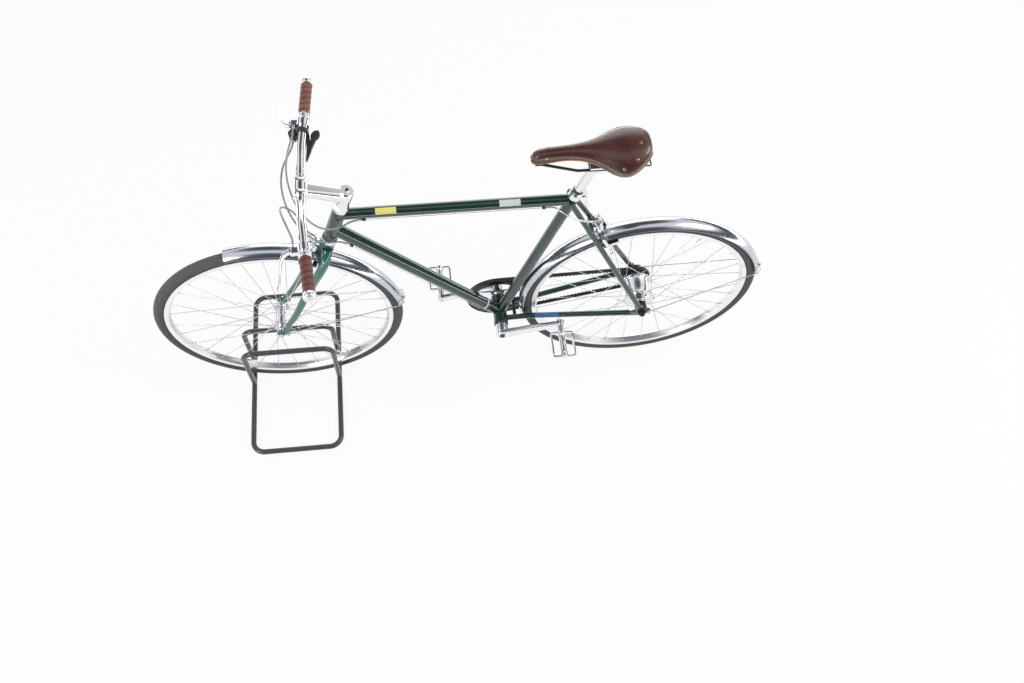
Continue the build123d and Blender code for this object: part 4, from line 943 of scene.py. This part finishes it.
def makeBolts():
    dark = bmesh.new()
    for side in (1, -1):
        spot = layout["bracket"] + left * side * bolts["crankFace"]
        stamp(dark, screwHead(0.0078, 0.0014, 0.55), [along(spot, left * side)])
    finishPiece("crankBolts", dark, "cranks", "black_alloy")
    ring = bmesh.new()
    outer, inner = bolts["spiderFaces"]
    for arm in range(5):
        turn = radians(bolts["crankTurn"] + 180 + 72 * (arm + 0.5))
        spot = layout["bracket"] + Vector((cos(turn), 0, sin(turn))) * bolts["spiderRadius"]
        places = [along(spot + left * outer, -left), along(spot + left * inner, left)]
        stamp(ring, screwHead(0.0055, 0.0014, 0.5), places)
    finishPiece("ringBolts", ring, "cranks", "black_alloy", finishes["steel_wire"])


def makeStemBolts():
    way = (layout["bar"] - steerFoot - steerUp * bolts["stemRoot"]).normalized()
    rise = way.cross(left) * bolts["clampRise"]
    front = layout["bar"] + way * bolts["clampFace"]
    out = left * bolts["clampSide"]
    places = [along(front + out * side + rise * lift, way) for side in (1, -1) for lift in (1, -1)]
    places.append(along(steerFoot + steerUp * bolts["stemTop"], steerUp))
    work = stamp(bmesh.new(), screwHead(0.0040, 0.0016, 0.55), places)
    finishPiece("stemBolts", work, "front_assembly", "black_alloy", finishes["black_alloy"])


makeBolts()
makeStemBolts()
print("bolts made")


# Blank stickers, each a patch bent round its tube
label = {
    "proud": 0.00025, "thickness": 0.0001, "sides": 96, "middleTurn": 58, "tubeSpread": 72, "staySpread": 96,
    "stayRadius": 0.008, "stayFoot": Vector((-0.472, 0.0685, 0.338)),
    "stayBend": Vector((-0.196, 0.0315, 0.298)),
}


def makeLabelPatch(name, start, axis, length, radius, spread, finish):
    work = bmesh.new()
    bmesh.ops.create_circle(work, cap_ends=False, segments=label["sides"], radius=radius + label["proud"])
    half = radians(spread) / 2
    gone = [vertex for vertex in work.verts if abs(atan2(vertex.co.y, vertex.co.x)) > half]
    bmesh.ops.delete(work, geom=gone, context="VERTS")
    strip = bmesh.ops.extrude_edge_only(work, edges=work.edges[:])
    moved = [item for item in strip["geom"] if isinstance(item, bmesh.types.BMVert)]
    bmesh.ops.translate(work, verts=moved, vec=(0, 0, length))
    bmesh.ops.solidify(work, geom=work.faces[:], thickness=label["thickness"])
    bmesh.ops.recalc_face_normals(work, faces=work.faces)
    work.transform(Matrix.Rotation(radians(label["middleTurn"]), 4, "Z"))
    work.transform(along(start, axis, (0, 1, 0)))
    finishPiece(name, work, "frame", "frame_paint", finish)


tubeRadius = layout["topTubeRadius"]
tubeLine = Vector((0, 0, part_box("top_tube")[1].z - tubeRadius))
for name, start, length, finishName in (
    ("yellowSticker", 0.167, 0.0505, "yellowLabel"), ("whiteSticker", -0.137, 0.052, "whiteLabel"),
):
    spot = tubeLine + Vector((start, 0, 0))
    makeLabelPatch(name, spot, (1, 0, 0), length, tubeRadius, label["tubeSpread"], extras[finishName])
stayWay = (label["stayBend"] - label["stayFoot"]).normalized()
makeLabelPatch(
    "staySticker", label["stayFoot"] + stayWay * 0.205, stayWay, 0.070, label["stayRadius"],
    label["staySpread"], extras["blueLabel"],
)
print("stickers made")


# Cables that cross the steering joint, on smooth curves, and the ferrules at their ends
cables = {
    "radius": 0.0024, "leverEnd": Vector((0.016, 0.1736, 0.016)),
    "ferrule": ((0.0026, -0.0002), (0.0033, 0.0), (0.0033, 0.008), (0.0029, 0.009), (0.0026, 0.009)),
    "brake": (
        (0.013, -0.1735, 0.0196), (0.013, -0.148, 0.0196), (0.020, -0.120, 0.023), (0.029, -0.088, 0.016),
        (0.035, -0.054, -0.004), (0.031, -0.022, -0.035), (0.016, 0.006, -0.071), (-0.009, 0.028, -0.101),
        (-0.042, 0.036, -0.120), (-0.079, 0.028, -0.124), (-0.1055, 0.0122, -0.1201),
        (-0.1295, 0.0122, -0.1201),
    ),
    "shift": (
        (0.016, -0.1434, 0.005), (0.016, -0.126, 0.005), (0.027, -0.104, 0.001), (0.045, -0.076, -0.013),
        (0.053, -0.040, -0.041), (0.045, -0.004, -0.077), (0.025, 0.024, -0.115), (-0.003, 0.036, -0.151),
        (-0.035, 0.032, -0.183), (-0.0716, 0.0141, -0.2026), (-0.0890, 0.0141, -0.2219),
    ),
}


def makeCrossingCable(name, node, points, start, end):
    route = [layout["bar"] + Vector(point) for point in points]
    mesh = wireMesh(name, [route], cables["radius"], smooth=True, sides=3)
    piece = bpy.data.objects.new(name, mesh)
    bpy.context.scene.collection.objects.link(piece)
    mesh.materials.append(finishes["housing"])
    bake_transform(piece, "front_assembly", "frame", start=start, end=end)
    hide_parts(node)
    return route


def makeFerrules(name, spots, body):
    cap = turnedShape(cables["ferrule"], 16)
    work = stamp(bmesh.new(), cap, [along(origin, way) for origin, way in spots])
    finishPiece(name, work, body, "steel_wire")


brakeRoute = makeCrossingCable(
    "brakeCableRun", "brake_cable_crossing", cables["brake"], (0.372, 0.006, 0.854), (0.302, 0.028, 0.801),
)
shiftRoute = makeCrossingCable(
    "shiftCableRun", "shift_cable_crossing", cables["shift"], (0.426, -0.004, 0.848), (0.346, 0.032, 0.742),
)
makeFerrules("barFerrules", [
    (brakeRoute[0], brakeRoute[1] - brakeRoute[0]), (shiftRoute[0], shiftRoute[1] - shiftRoute[0]),
    (layout["bar"] + cables["leverEnd"], -left),
], "front_assembly")
makeFerrules("stopFerrules", [
    (brakeRoute[-1], brakeRoute[-2] - brakeRoute[-1]), (shiftRoute[-1], shiftRoute[-2] - shiftRoute[-1]),
], "frame")
print("cables made")


# Small trim: the cable guide's band, the rings on the head tube and the band on the seat post
trim = {
    "cableGuideBand": (
        ((0.0172, 0.0), (0.0180, 0.0002), (0.0180, 0.006), (0.0172, 0.0062)), 48,
        layout["bracket"] + layout["downTubeWay"] * 0.066, layout["downTubeWay"], "steel_wire", "whiteLabel",
    ),
    "headTubeFootRing": (
        ((0.0181, 0.0), (0.0190, 0.0004), (0.0190, 0.0052), (0.0181, 0.0056)), 64,
        steerFoot + steerUp * 0.4206, steerUp, "frame_paint", None,
    ),
    "headTubeTopRing": (
        ((0.0181, 0.0), (0.0188, 0.0004), (0.0188, 0.0042), (0.0181, 0.0046)), 64,
        steerFoot + steerUp * 0.5350, steerUp, "frame_paint", None,
    ),
    "postBand": (
        ((0.0127, 0.0), (0.0133, 0.0003), (0.0133, 0.010), (0.0127, 0.0104)), 48,
        layout["rails"] - seatUp * 0.1150, seatUp, "black_plastic", None,
    ),
}
for name, (outline, sides, foot, way, slot, finishName) in trim.items():
    ring = turnedShape(outline, sides)
    ring.transform(along(foot, way))
    finishPiece(name, ring, "frame", slot, extras.get(finishName))
print("trim made")


# Floor, light and camera
studio = {
    "floorSize": 16.0, "floorWhite": 0.80, "shadowShare": 0.09,  # how much of the shadow the camera sees
    "floorBands": (3.6, 7.0, 7.6), "farFloor": 0.10, "bandGlow": 5.0,
    "darkWays": (((0.0, -0.47, 0.88), 0.83, 0.965), ((0.06, 0.84, 0.53), 0.78, 0.95)),
    "backWindow": ((-0.1, -0.95, 0.30), 0.90, 0.97), "windowGlow": 2.4,
    "dark": (0.09, 0.10, 0.12), "wall": (0.12, 0.13, 0.14), "wallFoot": (-0.30, -0.25), "wallTop": 0.26,
    "wallFade": 0.14, "bright": 1.0, "worldStrength": 0.95,
    "cameraPlace": (0.1128, 1.3963, 2.7582), "cameraAzimuth": 79.476, "cameraElevation": 62.048,
    "cameraRoll": 4.890, "lens": 33.956, "sensor": 36,
    "lamps": {"keySoft": (2.9, 2.2, 2.6), "fillSoft": (-3.0, 0.4, 2.8)}, "lampAim": Vector((0, 0, 0.5)),
    "lampSize": (1.8, 1.4), "lampPower": 55,
}


# White to the camera but for a faint shadow; mirrors see a pale floor with a bright band and a dark end.
def makeFloor():
    mesh = bpy.data.meshes.new("floor")
    work = bmesh.new()
    bmesh.ops.create_grid(work, x_segments=1, y_segments=1, size=studio["floorSize"] / 2)
    work.to_mesh(mesh)
    work.free()
    floor = bpy.data.objects.new("floor", mesh)
    bpy.context.scene.collection.objects.link(floor)
    finish = Finish("floorPaper")
    diffuse = finish.node("ShaderNodeBsdfDiffuse", sockets={"Color": grey(studio["floorWhite"])})
    reach = finish.length(finish.spot())
    low, bright, far = studio["floorBands"]
    band = finish.between(reach, low, low + 0.2) * (1 - finish.between(reach, bright, bright + 0.3))
    beyond = finish.between(reach, bright, far)
    sheen = 1.0 - beyond * (1 - studio["farFloor"]) + band * studio["bandGlow"]
    mirror = finish.node("ShaderNodeLightPath", output="Is Glossy Ray")
    strength = mirror * sheen + (1 - mirror)
    glow = finish.node("ShaderNodeEmission", sockets={"Color": grey(1), "Strength": strength})
    ray = finish.node("ShaderNodeLightPath", output="Is Camera Ray")
    seen = ray.maths("MAXIMUM", ray * (1 - studio["shadowShare"]), mirror)
    floorSurface = finish.node("ShaderNodeMixShader", sockets={0: seen, 1: diffuse, 2: glow})
    mesh.materials.append(finish.close(floorSurface))


# A bright room for polished metal: a dark wall band, dark patches overhead and behind the camera, a window.
def makeWorld():
    world = bpy.data.worlds.new("studio")
    bpy.context.scene.world = world
    finish = Finish("studio", world)
    direction = finish.node("ShaderNodeTexCoord", output="Generated")
    unit = finish.node("ShaderNodeVectorMath", {"operation": "NORMALIZE"}, {0: direction})
    patch = 0
    for way, rim, core in studio["darkWays"]:
        patch = patch + finish.between(finish.facing(unit, way), rim, core)
    height = finish.part(unit, "Z")
    top = finish.between(height, studio["wallTop"], studio["wallTop"] + studio["wallFade"])
    wall = finish.between(height, *studio["wallFoot"]) * (1 - top)
    room = finish.blendColour(wall, grey(studio["bright"]), (*studio["wall"], 1))
    way, rim, core = studio["backWindow"]
    window = finish.between(finish.facing(unit, way), rim, core)
    room = finish.blendColour(window, room, grey(studio["windowGlow"]))
    dome = finish.blendColour(patch.maths("MINIMUM", patch, 1.0), room, (*studio["dark"], 1))
    ray = finish.node("ShaderNodeLightPath", output="Is Camera Ray")
    sockets = {"Color": dome, "Strength": studio["worldStrength"]}
    background = finish.node("ShaderNodeBackground", sockets=sockets)
    plain = finish.node("ShaderNodeBackground", sockets={"Color": grey(1), "Strength": 1.0})
    mixed = finish.node("ShaderNodeMixShader", sockets={0: ray, 1: background, 2: plain})
    finish.node("ShaderNodeOutputWorld", sockets={"Surface": mixed})


def addLamp(name, place):
    lamp = bpy.data.lights.new(name, "AREA")
    lamp.shape = "RECTANGLE"
    lamp.size, lamp.size_y = studio["lampSize"]
    lamp.energy = studio["lampPower"]
    item = bpy.data.objects.new(name, lamp)
    item.location = place
    item.rotation_euler = (studio["lampAim"] - Vector(place)).to_track_quat("-Z", "Y").to_euler()
    bpy.context.scene.collection.objects.link(item)


def makeCamera():
    azimuth = radians(studio["cameraAzimuth"])
    elevation = radians(studio["cameraElevation"])
    roll = radians(studio["cameraRoll"])
    back = Vector((cos(azimuth) * cos(elevation), sin(azimuth) * cos(elevation), sin(elevation)))
    level = (-back).cross(Vector((0, 0, 1))).normalized()
    rise = level.cross(-back)
    right = level * cos(roll) + rise * sin(roll)
    up = rise * cos(roll) - level * sin(roll)
    camera = bpy.data.cameras.new("camera")
    camera.sensor_width = studio["sensor"]
    camera.lens = studio["lens"]
    item = bpy.data.objects.new("camera", camera)
    turn = Matrix((right, up, back)).transposed().to_4x4()
    item.matrix_world = Matrix.Translation(studio["cameraPlace"]) @ turn
    bpy.context.scene.collection.objects.link(item)
    bpy.context.scene.camera = item


makeFloor()
makeWorld()
for name, place in studio["lamps"].items():
    addLamp(name, place)
makeCamera()
bpy.context.scene.view_settings.view_transform = "Standard"
print("studio ready")
